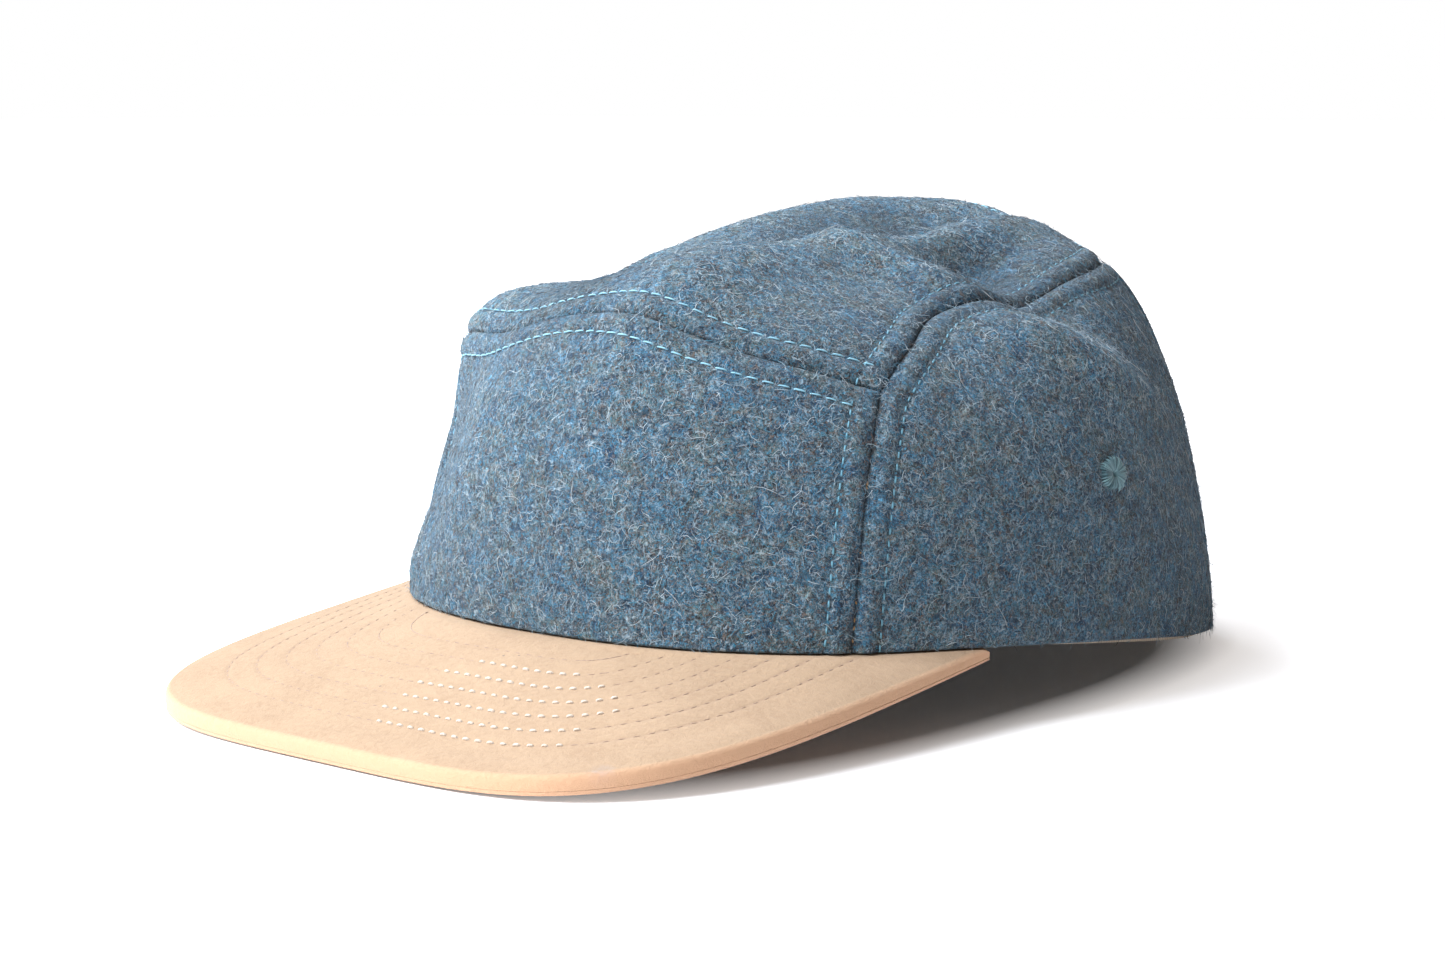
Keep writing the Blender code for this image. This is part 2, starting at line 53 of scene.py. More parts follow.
crown = {
    "halfWidth": 0.0885, "frontReach": 0.0995, "backReach": 0.1055, "height": 0.108,
    "frontRoundness": 2.24, "backRoundness": 2.35, "browLift": 0.0203,
    "wall": 0.0022, "gap": 0.0003,
    "topUp": 0.995, "topTilt": 0.05, "topFlat": 0.35,
    "softDepth": 0.008, "footFade": 0.05,
    "columns": ("azimuth", "lift", "wallOut", "wallUp", "edgeOut", "edgeUp", "pull", "crestOut", "crestUp"),
    "sections": (
        (0, 1.00, 1.00, 0.42, 0.94, 0.87, 0.8, 0.75, 1.09),
        (35, 0.97, 0.96, 0.40, 0.90, 0.79, 1.4, 0.71, 0.89),
        (65, 0.90, 0.97, 0.38, 0.94, 0.72, 1.3, 0.75, 0.81),
        (90, 0.72, 1.02, 0.36, 0.98, 0.74, 1.0, 0.79, 0.93),
        (125, 0.37, 0.99, 0.33, 0.90, 0.79, 0.5, 0.77, 1.06),
        (155, 0.08, 0.98, 0.36, 0.93, 0.91, 1.0, 0.80, 1.17),
        (180, 0.00, 1.00, 0.38, 0.95, 0.88, 1.2, 0.77, 1.14),
    ),
    # place across and along, heading, half length, half width, rise
    "forms": (
        (-0.03, 0.02, 0, 0.41, 0.185, -1.78),  # valley over the top
        (0.10, 0.01, 0, 0.44, 0.075, 1.17),  # left ridge
        (0.26, 0.10, 0, 0.35, 0.20, -0.34),
        (0.26, 0.12, 78, 0.15, 0.11, -1.30),  # dent behind the left ridge
        (0.20, -0.06, 80, 0.14, 0.05, 0.50),  # fold in front of it
        (0.16, 0.22, 0, 0.20, 0.14, -0.46),
        (0.43, 0.09, 25, 0.18, 0.06, -0.55),  # valley and fold on the left side
        (0.50, 0.00, 45, 0.13, 0.05, 0.35),
        (0.575, 0.17, 5, 0.16, 0.05, 0.30),
        (-0.35, -0.37, 45, 0.13, 0.12, 1.00),  # right brow
        (-0.44, -0.63, 45, 0.20, 0.15, -0.60),
        (-0.57, -0.80, 45, 0.22, 0.08, 0.45),
        (-0.115, 0.43, 34, 0.29, 0.09, 1.06),  # right crest and the rim behind the valley
        (-0.04, 0.51, 72, 0.16, 0.093, 1.25),
    ),
}


def smoothThrough(where, knots, values):
    knots = np.asarray(knots, dtype=float)
    values = np.asarray(values, dtype=float)
    slopes = np.gradient(values, knots)
    index = np.clip(np.searchsorted(knots, where, side="right") - 1, 0, len(knots) - 2)
    step = knots[index + 1] - knots[index]
    s = (where - knots[index]) / step
    return (values[index] * (1 + 2 * s) * (1 - s) ** 2 + slopes[index] * step * s * (1 - s) ** 2
            + values[index + 1] * s * s * (3 - 2 * s) + slopes[index + 1] * step * s * s * (s - 1))


def sectionValue(azimuth, column):
    rows = [(row[0], row[crown["columns"].index(column)]) for row in crown["sections"]]
    rows = [(-rows[1][0], rows[1][1])] + rows + [(360 - rows[-2][0], rows[-2][1])]
    return smoothThrough(np.abs(azimuth), [row[0] for row in rows], [row[1] for row in rows])


def baseReach(azimuth):
    turn = np.radians(azimuth)
    ahead = np.cos(turn) >= 0
    reach = np.where(ahead, crown["frontReach"], crown["backReach"])
    power = np.where(ahead, crown["frontRoundness"], crown["backRoundness"])
    oval = np.abs(np.sin(turn) / crown["halfWidth"]) ** power + np.abs(np.cos(turn) / reach) ** power
    return oval ** (-1 / power)


def baseUp(azimuth):
    return crown["browLift"] * sectionValue(azimuth, "lift")


def plainCrown(azimuth, rise):
    turn = np.radians(azimuth)
    reach = baseReach(azimuth)
    tiltUp = crown["topTilt"] * crown["topFlat"] * reach * np.cos(turn) / crown["height"]
    wallOut, wallUp, edgeOut, edgeUp, pull, crestOut, crestUp = [
        sectionValue(azimuth, column) for column in crown["columns"][2:]]
    outs = (1.0, wallOut, edgeOut, crestOut, crown["topFlat"], 0.0)
    ups = (baseUp(azimuth) / crown["height"], wallUp, edgeUp, crestUp, crown["topUp"] - tiltUp, crown["topUp"])
    weights = [math.comb(5, k) * rise ** k * (1 - rise) ** (5 - k) for k in range(6)]
    weights[2] = weights[2] * pull
    total = sum(weights)
    out = reach * sum(w * value for w, value in zip(weights, outs)) / total
    up = crown["height"] * sum(w * value for w, value in zip(weights, ups)) / total
    return np.stack([out * np.sin(turn), standsBack - out * np.cos(turn), up], axis=-1)


def toSection(across, along):
    return np.degrees(np.arctan2(across, -along)), 1 - np.hypot(across, along)


def toChart(azimuth, rise):
    turn = np.radians(azimuth)
    return (1 - rise) * np.sin(turn), -(1 - rise) * np.cos(turn)


def unit(vectors):
    return vectors / np.linalg.norm(vectors, axis=-1, keepdims=True)


def alongSurface(vectors, normal):
    return unit(vectors - (vectors * normal).sum(1, keepdims=True) * normal)


def slopesOf(surface, across, along, step):
    # how far a surface moves over a small step to both sides, each way in the chart
    return (surface(across + step, along) - surface(across - step, along),
            surface(across, along + step) - surface(across, along - step))


def normalsOf(surface, across, along):
    return unit(np.cross(*slopesOf(surface, across, along, 1e-3)))


def plainAt(across, along):
    return plainCrown(*toSection(across, along))


def softRise(across, along):
    total = np.zeros_like(across)
    for midAcross, midAlong, heading, halfLength, halfWidth, rise in crown["forms"]:
        turn = math.radians(heading)
        lengthwise = (across - midAcross) * math.sin(turn) + (along - midAlong) * math.cos(turn)
        sideways = (across - midAcross) * math.cos(turn) - (along - midAlong) * math.sin(turn)
        total += rise * np.exp(-(lengthwise / halfLength) ** 2 - (sideways / halfWidth) ** 2)
    rise = toSection(across, along)[1]
    return crown["softDepth"] * total * (1 - np.exp(-(rise / crown["footFade"]) ** 2))


def crownAt(across, along):
    push = softRise(across, along)[..., None]
    return plainAt(across, along) + push * normalsOf(plainAt, across, along)


def crownFrame(across, along):  # point and normal, level where the crown meets its lower edge
    normal = normalsOf(crownAt, across, along)
    rise = toSection(across, along)[1]
    normal[..., 2] *= 1 - np.exp(-(np.maximum(rise, 0) / crown["footFade"]) ** 2)
    return crownAt(across, along), unit(normal)


def walk(chart, step):
    # where a place in the chart gets to when its point moves by a small step in space
    eps = 1e-4
    byAcross, byAlong = [moved / (2 * eps) for moved in slopesOf(crownAt, *chart.T, eps)]
    aa, ab, bb = (byAcross ** 2).sum(1), (byAcross * byAlong).sum(1), (byAlong ** 2).sum(1)
    sa, sb = (byAcross * step).sum(1), (byAlong * step).sum(1)
    det = aa * bb - ab ** 2
    return chart + np.stack([(bb * sa - ab * sb) / det, (aa * sb - ab * sa) / det], -1)


# The peak's outline, as the solids have it

peak = {
    "cornerAzimuth": 63.5, "length": 0.1145, "squareness": 4.1, "lean": 0.0055,
    "topLayer": 0.0028, "underLayer": 0.0012, "tuck": 0.0042, "thinning": 0.45,
}
standsBack = 0.0
peakCorner = plainCrown(np.array([peak["cornerAzimuth"]]), np.zeros(1))[0]
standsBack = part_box("peak_top")[0][1] - (peakCorner[1] - peak["length"])  # where the crown's centre stands
peakCorner[1] += standsBack


# Seams, as places in the chart of the crown

seams = {
    "frontAzimuth": 44.0, "backAzimuth": 142.0, "temple": (0.44, -0.37), "nape": (0.24, 0.43),
    "frontBow": 0.155, "frontPower": 2.2, "backBow": 0.07, "backPower": 2,
    "side": ((0.00, 0.00), (0.15, 0.26), (0.31, 0.52), (0.42, 0.40), (0.56, 0.27),
             (0.72, 0.32), (0.87, 0.58), (1.00, 1.00)),
}


def straight(start, end):
    return lambda s: np.stack([start[0] + (end[0] - start[0]) * s, start[1] + (end[1] - start[1]) * s], -1)


def baseArc(start, end):
    return lambda s: np.stack(toChart(start + (end - start) * s, 0 * s), -1)


def mirrored(curve):
    return lambda s: curve(s) * np.array([-1, 1])


def overTop(place, bow, power):
    # from one side of the crown to the other, bowed forward or back
    return lambda s: np.stack([place[0] * (2 * s - 1), place[1] + bow * (1 - np.abs(2 * s - 1) ** power)], -1)


def sideSeam(s):
    share = smoothThrough(s, *zip(*seams["side"]))
    (templeAcross, templeAlong), (napeAcross, napeAlong) = seams["temple"], seams["nape"]
    return np.stack([templeAcross + (napeAcross - templeAcross) * share,
                     templeAlong + (napeAlong - templeAlong) * s], -1)


frontSeam = overTop(seams["temple"], -seams["frontBow"], seams["frontPower"])
backSeam = overTop(seams["nape"], seams["backBow"], seams["backPower"])
templeSeam = straight(toChart(seams["frontAzimuth"], 0), seams["temple"])
napeSeam = straight(toChart(seams["backAzimuth"], 0), seams["nape"])


def patch(low, high, left, right, u, v):  # fills in between four curves
    zero, one = np.zeros_like(u), np.ones_like(u)
    a, b = u[..., None], v[..., None]
    corners = ((1 - a) * (1 - b) * low(zero) + a * (1 - b) * low(one)
               + (1 - a) * b * high(zero) + a * b * high(one))
    return (1 - b) * low(u) + b * high(u) + (1 - a) * left(v) + a * right(v) - corners


def lengthsAlong(grid, axis):
    return np.linalg.norm(np.diff(grid, axis=axis), axis=-1).sum(axis=axis)


# Small helpers for pieces

def takeObject(name):
    piece = bpy.context.active_object
    piece.name = name
    piece.data.name = name
    return piece


def readPoints(piece):
    points = np.empty(len(piece.data.vertices) * 3)
    piece.data.vertices.foreach_get("co", points)
    return points.reshape(-1, 3)


def writePoints(piece, points):
    piece.data.vertices.foreach_set("co", np.asarray(points, dtype=float).ravel())
    piece.data.update()


def addLayer(piece, name, values):
    layer = piece.data.attributes.new(name, "FLOAT", "POINT")
    layer.data.foreach_set("value", np.asarray(values, dtype=np.float32))


def faceOut():
    bpy.ops.mesh.normals_make_consistent(inside=False)


def extrudeBy(*move):
    return lambda: bpy.ops.mesh.extrude_region_move(TRANSFORM_OT_translate={"value": move})


def editAll(piece, *steps):  # each step acts on the whole piece in edit mode
    bpy.ops.object.select_all(action="DESELECT")
    piece.select_set(True)
    bpy.context.view_layer.objects.active = piece
    bpy.ops.object.mode_set(mode="EDIT")
    for step in steps:
        bpy.ops.mesh.select_all(action="SELECT")
        step()
    bpy.ops.object.mode_set(mode="OBJECT")


def shapeBy(piece, kind, **settings):  # adds a modifier and applies it
    bpy.context.view_layer.objects.active = piece
    modifier = piece.modifiers.new(kind.lower(), kind)
    for key, value in settings.items():
        setattr(modifier, key, value)
    bpy.ops.object.modifier_apply(modifier=modifier.name)


def addRide(piece, material, node=None):
    piece.data.materials.append(material)
    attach(piece, "root")
    if node:
        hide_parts(node)


def finishPiece(piece, material, node=None, smoothAngle=60):
    editAll(piece, faceOut)
    bpy.ops.object.shade_smooth_by_angle(angle=math.radians(smoothAngle))
    piece.data.materials.clear()
    addRide(piece, material, node)


def slabGrid(name, columns, rows):
    # a flat grid from 0 to 1 both ways, extruded down once so that it is a closed sheet
    bpy.ops.mesh.primitive_grid_add(x_subdivisions=columns, y_subdivisions=rows, size=1, location=(0, 0, 0))
    piece = takeObject(name)
    editAll(piece, extrudeBy(0, 0, -1))
    points = readPoints(piece)
    return piece, points[:, 0] + 0.5, points[:, 1] + 0.5, points[:, 2] < -0.5


def crowd(share, amount):  # spaces grid lines closer together near both ends
    return share - amount * np.sin(2 * np.pi * share) / (2 * np.pi)


def softWave(points, seed, waves, length, height):
    # a gentle unevenness of cloth, the same wherever two pieces meet
    picks = np.random.default_rng(seed)
    total = np.zeros(points.shape[:-1])
    for k in range(waves):
        heading = picks.normal(size=3)
        heading /= np.linalg.norm(heading)
        total += np.sin(points @ heading * 2 * np.pi / (length * picks.uniform(0.7, 1.5)) + picks.uniform(0, 6.28))
    return height * total / math.sqrt(waves)


# Materials

def newMaterial(name, colour, roughness, sheen=0.0, sheenTint=(1, 1, 1), metallic=0.0):
    material = bpy.data.materials.new(name)
    material.use_nodes = True
    shader = material.node_tree.nodes["Principled BSDF"]
    for socket, value in (("Base Color", (*colour, 1)), ("Roughness", roughness), ("Metallic", metallic),
                          ("Sheen Weight", sheen), ("Sheen Roughness", 0.5), ("Sheen Tint", (*sheenTint, 1))):
        shader.inputs[socket].default_value = value
    return material, material.node_tree, shader


def place(tree, kind, inputs=None, **settings):
    node = tree.nodes.new("ShaderNode" + kind)
    for key, value in settings.items():
        setattr(node, key, value)
    for key, value in (inputs or {}).items():
        if isinstance(value, bpy.types.NodeSocket):
            tree.links.new(value, node.inputs[key])
        else:
            node.inputs[key].default_value = value
    return node


def objectPlace(tree):
    return place(tree, "TexCoord").outputs["Object"]


def attributeAt(tree, name):
    return place(tree, "Attribute", attribute_name=name).outputs["Fac"]


def mathAt(tree, operation, first, second=0.0):
    return place(tree, "Math", {0: first, 1: second}, operation=operation).outputs[0]


def timesAt(tree, first, second):
    return mathAt(tree, "MULTIPLY", first, second)


def vectorAt(tree, operation, first, second=(0, 0, 0), output="Vector"):
    return place(tree, "VectorMath", {0: first, 1: second}, operation=operation).outputs[output]


def noiseAt(tree, vector, scale, detail=2.0, roughness=0.5, distortion=0.0):
    return place(tree, "TexNoise", {"Vector": vector, "Scale": scale, "Detail": detail, "Roughness": roughness,
                                    "Distortion": distortion}).outputs["Fac"]


def rampAt(tree, value, stops):
    ramp = place(tree, "ValToRGB", {"Fac": value})
    while len(ramp.color_ramp.elements) < len(stops):
        ramp.color_ramp.elements.new(0.5)
    for element, (position, colour) in zip(ramp.color_ramp.elements, stops):
        element.position = position
        element.color = (*colour, 1)
    return ramp.outputs["Color"]


def rangeAt(tree, value, low, high, toLow=0.0, toHigh=1.0):
    return place(tree, "MapRange", {"Value": value, "From Min": low, "From Max": high,
                                    "To Min": toLow, "To Max": toHigh}).outputs["Result"]


def mixAt(tree, factor, first, second, blend="MIX"):
    inputs = {0: factor}
    for index, value in ((6, first), (7, second)):
        inputs[index] = value if isinstance(value, bpy.types.NodeSocket) else (*value, 1)
    return place(tree, "Mix", inputs, data_type="RGBA", blend_type=blend).outputs[2]


def finishLook(material, colour, height, strength, distance):
    tree = material.node_tree
    shader = tree.nodes["Principled BSDF"]
    tree.links.new(colour, shader.inputs["Base Color"])
    bump = place(tree, "Bump", {"Height": height, "Strength": strength, "Distance": distance})
    tree.links.new(bump.outputs["Normal"], shader.inputs["Normal"])
    return material


def strandLines(tree, vector, scale, lines, width, shift, breakScale):
    # thin curly lines, where a soft noise passes through even levels, broken up by another noise
    vector = vectorAt(tree, "ADD", vector, shift)
    curls = noiseAt(tree, vector, scale, *woolLook["curls"])
    level = mathAt(tree, "PINGPONG", timesAt(tree, curls, lines), 0.5)
    broken = rangeAt(tree, noiseAt(tree, vector, breakScale, 1.0), *woolLook["breaks"])
    return timesAt(tree, rangeAt(tree, level, 0.0, width, 1.0, 0.0), broken)


# a noise is given by its scale, detail, roughness and distortion
woolLook = {
    "clumps": (330, 6.0, 0.76, 1.0), "blotches": (150, 3.0, 0.65, 0.8), "grain": (1250, 3.0, 0.7, 1.5),
    "tones": ((0.34, (0.004, 0.013, 0.024)), (0.42, (0.012, 0.058, 0.105)), (0.47, (0.080, 0.070, 0.066)),
              (0.51, (0.028, 0.130, 0.200)), (0.55, (0.072, 0.110, 0.128)), (0.60, (0.165, 0.198, 0.230)),
              (0.67, (0.105, 0.270, 0.365))),
    "blotchTones": ((0.38, (0.30, 0.52, 0.66)), (0.50, (0.49, 0.50, 0.51)), (0.62, (0.66, 0.50, 0.38))),
    "speckle": ((0.35, (0.02, 0.03, 0.04)), (0.50, (0.47, 0.47, 0.47)), (0.65, (1.0, 1.0, 1.0))),
    # painted shade in the valleys and painted highlight on the ridges, by how high on a fold a point lies
    "height": ((0.0, (0.16, 0.19, 0.21)), (0.5, (0.50, 0.50, 0.50)), (1.0, (0.80, 0.77, 0.74))),
    # groove is a near-black painted shade laid along the seams
    "overlay": 0.8, "groove": (0.012, 0.012, 0.014), "seamShadeShare": 0.62, "strandRise": 0.5, "bump": (0.9, 0.0005),
    "curls": (1.5, 0.5, 0.6), "breaks": (0.46, 0.58), "base": ((0.10, 0.16, 0.20), 0.95, 0.15, (0.75, 0.85, 0.95)),
    # colour, scale, lines, width, share, shift and the scale of the breaks, the dark strands first
    "strands": (
        ((0.006, 0.012, 0.022), 560, 5.0, 0.18, 0.8, (0.31, 0.10, 0.20), 900),
        ((0.06, 0.28, 0.44), 640, 5.0, 0.18, 0.8, (0.12, 0.47, 0.35), 1000),
        ((0.20, 0.13, 0.09), 600, 4.0, 0.15, 0.8, (0.22, 0.90, 0.61), 1100),
        ((0.46, 0.56, 0.63), 700, 5.0, 0.17, 0.6, (0.73, 0.21, 0.95), 1000),
        ((0.46, 0.56, 0.63), 430, 4.0, 0.12, 0.6, (0.55, 0.63, 0.11), 700),
    ),
}


def makeWool():
    material, tree, shader = newMaterial("heatheredWool", *woolLook["base"])
    vector = objectPlace(tree)
    colour = rampAt(tree, noiseAt(tree, vector, *woolLook["clumps"]), woolLook["tones"])
    blotch = rampAt(tree, noiseAt(tree, vector, *woolLook["blotches"]), woolLook["blotchTones"])
    colour = mixAt(tree, woolLook["overlay"], colour, blotch, "OVERLAY")
    height = noiseAt(tree, vector, *woolLook["grain"])
    colour = mixAt(tree, 1.0, colour, rampAt(tree, height, woolLook["speckle"]), "OVERLAY")
    for order, (strandColour, scale, lines, width, share, shift, breakScale) in enumerate(woolLook["strands"]):
        strand = strandLines(tree, vector, scale, lines, width, shift, breakScale)
        colour = mixAt(tree, timesAt(tree, strand, share), colour, strandColour)
        if order > 0:
            height = mathAt(tree, "ADD", height, timesAt(tree, strand, woolLook["strandRise"]))
    # painted shade in the valleys, painted highlight on the ridges
    paintedFoldShading = rampAt(tree, attributeAt(tree, "crest"), woolLook["height"])
    colour = mixAt(tree, woolLook["overlay"], colour, paintedFoldShading, "OVERLAY")
    # the seams are darkened towards near-black, a painted shade
    groove = timesAt(tree, attributeAt(tree, "groove"), woolLook["seamShadeShare"])
    return finishLook(material, mixAt(tree, groove, colour, woolLook["groove"]), height, *woolLook["bump"])


# rows of stitches on the peak, by their distance from its rim
peakRows = {"first": 0.0122, "pitch": 0.0058, "count": 7}

suedeLook = {
    "light": (0.430, 0.284, 0.174), "dark": (0.384, 0.245, 0.146), "paleness": 1.08, "toneAt": (0.38, 0.50, 0.62),
    "cloud": (70, 3.0, 0.6), "cloudShare": 0.35, "nap": (750, 4.0, 0.8, 0.5), "napShare": 0.65,
    "speck": (0.12, 0.09, 0.08), "speckScale": 95.0, "speckReach": (0.022, 0.034), "speckShare": 0.8,
    # the rim is painted a warmer, paler orange: partly the rolled rim's own tone, partly painted bounce light
    "edge": (0.80, 0.455, 0.265), "rimToneAndBounceShare": 0.75,
    "row": (0.300, 0.180, 0.124), "rowWidth": (0.00012, 0.00075), "rowAside": (0.035, 0.060), "rowMiddle": 0.15,
    "worn": (240, 2.0, 0.6), "wornRange": (0.36, 0.62, 0.05, 0.38), "rowDip": 0.25,
    "smudge": (0.30, 0.29, 0.32), "smudgeAt": (0.0617, -0.1163, 0.0055), "smudgeReach": (0.0006, 0.0036),
    "smudgeRange": (0.42, 0.58, 0.15, 0.6), "sheen": (0.95, 0.25, (1.0, 0.92, 0.84)), "bump": (0.6, 0.0005),
}


def makeSuede(name, light, dark):
    material, tree, shader = newMaterial(name, light, *suedeLook["sheen"])
    vector = objectPlace(tree)
    nap = noiseAt(tree, vector, *suedeLook["nap"])
    blend = mathAt(tree, "ADD", timesAt(tree, noiseAt(tree, vector, *suedeLook["cloud"]), suedeLook["cloudShare"]),
                   timesAt(tree, nap, suedeLook["napShare"]))
    pale = tuple(min(1, c * suedeLook["paleness"]) for c in light)
    colour = rampAt(tree, blend, tuple(zip(suedeLook["toneAt"], (dark, light, pale))))
    dots = place(tree, "TexVoronoi", {"Vector": vector, "Scale": suedeLook["speckScale"]}).outputs["Distance"]
    speck = rangeAt(tree, dots, *suedeLook["speckReach"], suedeLook["speckShare"], 0.0)
    colour = mixAt(tree, speck, colour, suedeLook["speck"])
    away = vectorAt(tree, "DISTANCE", vector, suedeLook["smudgeAt"], "Value")
    smudge = rangeAt(tree, away, *suedeLook["smudgeReach"], 1.0, 0.0)
    smudge = timesAt(tree, smudge, rangeAt(tree, nap, *suedeLook["smudgeRange"]))
    colour = mixAt(tree, smudge, colour, suedeLook["smudge"])
    # the rows of stitches draw soft lines at even distances from the rim
    fromRow = mathAt(tree, "PINGPONG", attributeAt(tree, "fromRow"), peakRows["pitch"] / 2)
    line = rangeAt(tree, fromRow, *suedeLook["rowWidth"], 1.0, 0.0)
    aside = mathAt(tree, "ABSOLUTE", place(tree, "SeparateXYZ", {0: vector}).outputs["X"])
    aside = rangeAt(tree, aside, *suedeLook["rowAside"], suedeLook["rowMiddle"], 1.0)
    line = timesAt(tree, line, timesAt(tree, attributeAt(tree, "inRows"), aside))
    worn = rangeAt(tree, noiseAt(tree, vector, *suedeLook["worn"]), *suedeLook["wornRange"])
    colour = mixAt(tree, timesAt(tree, line, worn), colour, suedeLook["row"])
    # the rim colour is partly the rim's own tone, partly painted bounce light
    edge = timesAt(tree, attributeAt(tree, "edge"), suedeLook["rimToneAndBounceShare"])
    height = mathAt(tree, "SUBTRACT", nap, timesAt(tree, line, suedeLook["rowDip"]))
    return finishLook(material, mixAt(tree, edge, colour, suedeLook["edge"]), height, *suedeLook["bump"])


twillLook = {
    "base": ((0.60, 0.47, 0.34), 0.9, 0.15), "weave": {"Scale": 500.0, "Distortion": 0.6, "Detail": 1.0},
    "tones": ((0.2, (0.50, 0.38, 0.27)), (0.8, (0.66, 0.53, 0.39))), "bump": (0.5, 0.0002),
}


def makeTwill():
    material, tree, shader = newMaterial("twillCotton", *twillLook["base"])
    laid = place(tree, "TexCoord").outputs["UV"]
    stripes = place(tree, "TexWave", {"Vector": laid, **twillLook["weave"]}, wave_type="BANDS",
                    bands_direction="DIAGONAL").outputs["Fac"]
    return finishLook(material, rampAt(tree, stripes, twillLook["tones"]), stripes, *twillLook["bump"])


threadLook = {
    "sheen": 0.3, "ply": (2600, 2.0, 0.6), "shades": ((0.3, (0.72, 0.72, 0.72)), (0.7, (1.0, 1.0, 1.0))),
    "bump": (0.5, 0.0001),
}


def makeThread(name, colour, roughness=0.55, second=None):
    material, tree, shader = newMaterial(name, colour, roughness, threadLook["sheen"])
    ply = noiseAt(tree, objectPlace(tree), *threadLook["ply"])
    base = mixAt(tree, attributeAt(tree, "tone"), colour, second) if second else colour
    base = mixAt(tree, 1.0, base, rampAt(tree, ply, threadLook["shades"]), "MULTIPLY")
    return finishLook(material, base, ply, *threadLook["bump"])


brassLook = {
    "base": ((0.62, 0.47, 0.24), 0.32), "stretch": (60.0, 1200.0, 1200.0), "grain": (1.0, 3.0, 0.6),
    "roughness": (0.3, 0.7, 0.24, 0.42), "tones": ((0.3, (0.52, 0.38, 0.18)), (0.7, (0.70, 0.55, 0.30))),
    "bump": (0.2, 0.0001),
}


def makeBrass():
    material, tree, shader = newMaterial("brushedBrass", *brassLook["base"], metallic=1.0)
    stretched = place(tree, "Mapping", {"Vector": objectPlace(tree), "Scale": brassLook["stretch"]}).outputs[0]
    grain = noiseAt(tree, stretched, *brassLook["grain"])
    tree.links.new(rangeAt(tree, grain, *brassLook["roughness"]), shader.inputs["Roughness"])
    return finishLook(material, rampAt(tree, grain, brassLook["tones"]), grain, *brassLook["bump"])


wool = makeWool()
suede = makeSuede("peachSuede", suedeLook["light"], suedeLook["dark"])
# the lower layer is pinker, and painted paler than the upper suede: partly its own tone, partly painted light on a
# layer that lies in shade
underSuede = makeSuede("pinkSuede", (0.48, 0.30, 0.20), (0.41, 0.25, 0.165))
strapSuede = makeSuede("strapSuede", (0.48, 0.34, 0.23), (0.40, 0.27, 0.18))
twill = makeTwill()
blueThread = makeThread("blueThread", (0.30, 0.60, 0.74))
sunkThread = makeThread("sunkThread", (0.15, 0.38, 0.50))
eyeletThread = makeThread("eyeletThread", (0.045, 0.125, 0.155), second=(0.26, 0.46, 0.50))
suedeThread = makeThread("suedeThread", (0.42, 0.28, 0.20), 0.8)
creamThread = makeThread("creamThread", (0.76, 0.64, 0.52), 0.7)
tanThread = makeThread("tanThread", (0.48, 0.27, 0.11))
brass = makeBrass()
print("materials ready")


# Seams and the rows of topstitching beside them, as lines in the chart

rowLook = {
    "away": 0.0060, "front": (0.012, 0.988), "back": (0.02, 0.98), "side": (0.002, 0.998),
    # pitch, length, radius, how deep the thread lies, how far each stitch is turned
    "bright": (0.0035, 0.0031, 0.00022, -0.00018, 0.07),
    "sunk": (0.0028, 0.0019, 0.00024, 0.00006, 0.03),
    # how unevenly they turn and how their sizes differ, how far their ends dip, and the share of the groove they lie in
    "uneven": 0.04, "scales": (0.92, 1.06), "dip": 2.2, "inGroove": 0.75,
}


def wholeSide(s):  # the long seam round the left side panel, from the brow over the top to the nape
    s = np.asarray(s) * 3
    return np.where((s < 1)[:, None], templeSeam(np.clip(s, 0, 1)),
                    np.where((s < 2)[:, None], sideSeam(np.clip(s - 1, 0, 1)), napeSeam(np.clip(3 - s, 0, 1))))


def besideSeam(curve, side, distance, start, end):
    # a line in the chart that keeps its distance from a seam on one of its sides
    chart = curve(np.linspace(start, end, 240))
    point, normal = crownFrame(*chart.T)
    across = unit(np.cross(normal, np.gradient(point, axis=0)))
    for part in range(3):
        chart = walk(chart, side * distance / 3 * across)
    for part in range(8):
        chart = np.vstack([chart[:1], (chart[:-2] + 2 * chart[1:-1] + chart[2:]) / 4, chart[-1:]])
    return chart


seamCharts = [curve(np.linspace(0, 1, count)) for curve, count in (
    (wholeSide, 500), (mirrored(wholeSide), 500), (frontSeam, 240), (backSeam, 240))]
rowCharts = []
for side in (1, -1):
    line = besideSeam(wholeSide, side, rowLook["away"], *rowLook["side"])
    rowCharts += [("sunk", line), ("sunk", line * np.array([-1, 1]))]
for curve, ends in ((frontSeam, "front"), (backSeam, "back")):
    rowCharts += [("bright", besideSeam(curve, side, rowLook["away"], *rowLook[ends])) for side in (1, -1)]


def nearestOn(points, line):
    # distance from each point to a line of points, and how far along the line that is
    starts, spans = line[:-1], np.diff(line, axis=0)
    lengths = np.linalg.norm(spans, axis=1)
    before = np.concatenate([[0], np.cumsum(lengths)[:-1]])
    middles = starts + spans / 2
    best, run = np.empty(len(points)), np.empty(len(points))
    for first in range(0, len(points), 4000):
        block = points[first:first + 4000]
        near = ((middles ** 2).sum(1) - 2 * block @ middles.T).argmin(1)
        near = np.clip(near[:, None] + [-1, 0, 1], 0, len(starts) - 1)
        offset = block[:, None] - starts[near]
        share = np.clip((offset * spans[near]).sum(-1) / lengths[near] ** 2, 0, 1)
        gap = np.linalg.norm(offset - share[..., None] * spans[near], axis=-1)
        pick, chosen = gap.argmin(1), np.arange(len(block))
        best[first:first + 4000] = gap[chosen, pick]
        run[first:first + 4000] = before[near[chosen, pick]] + share[chosen, pick] * lengths[near[chosen, pick]]
    return best, run


def onCrown(chart):
    return crownAt(*chart.T)


seamLines = [onCrown(chart) for chart in seamCharts]
rowLines = [(kind, onCrown(chart)) for kind, chart in rowCharts]
arch = {"halfWidth": 0.032, "height": 0.040, "leg": 0.014, "below": 0.02, "roll": 0.0014}


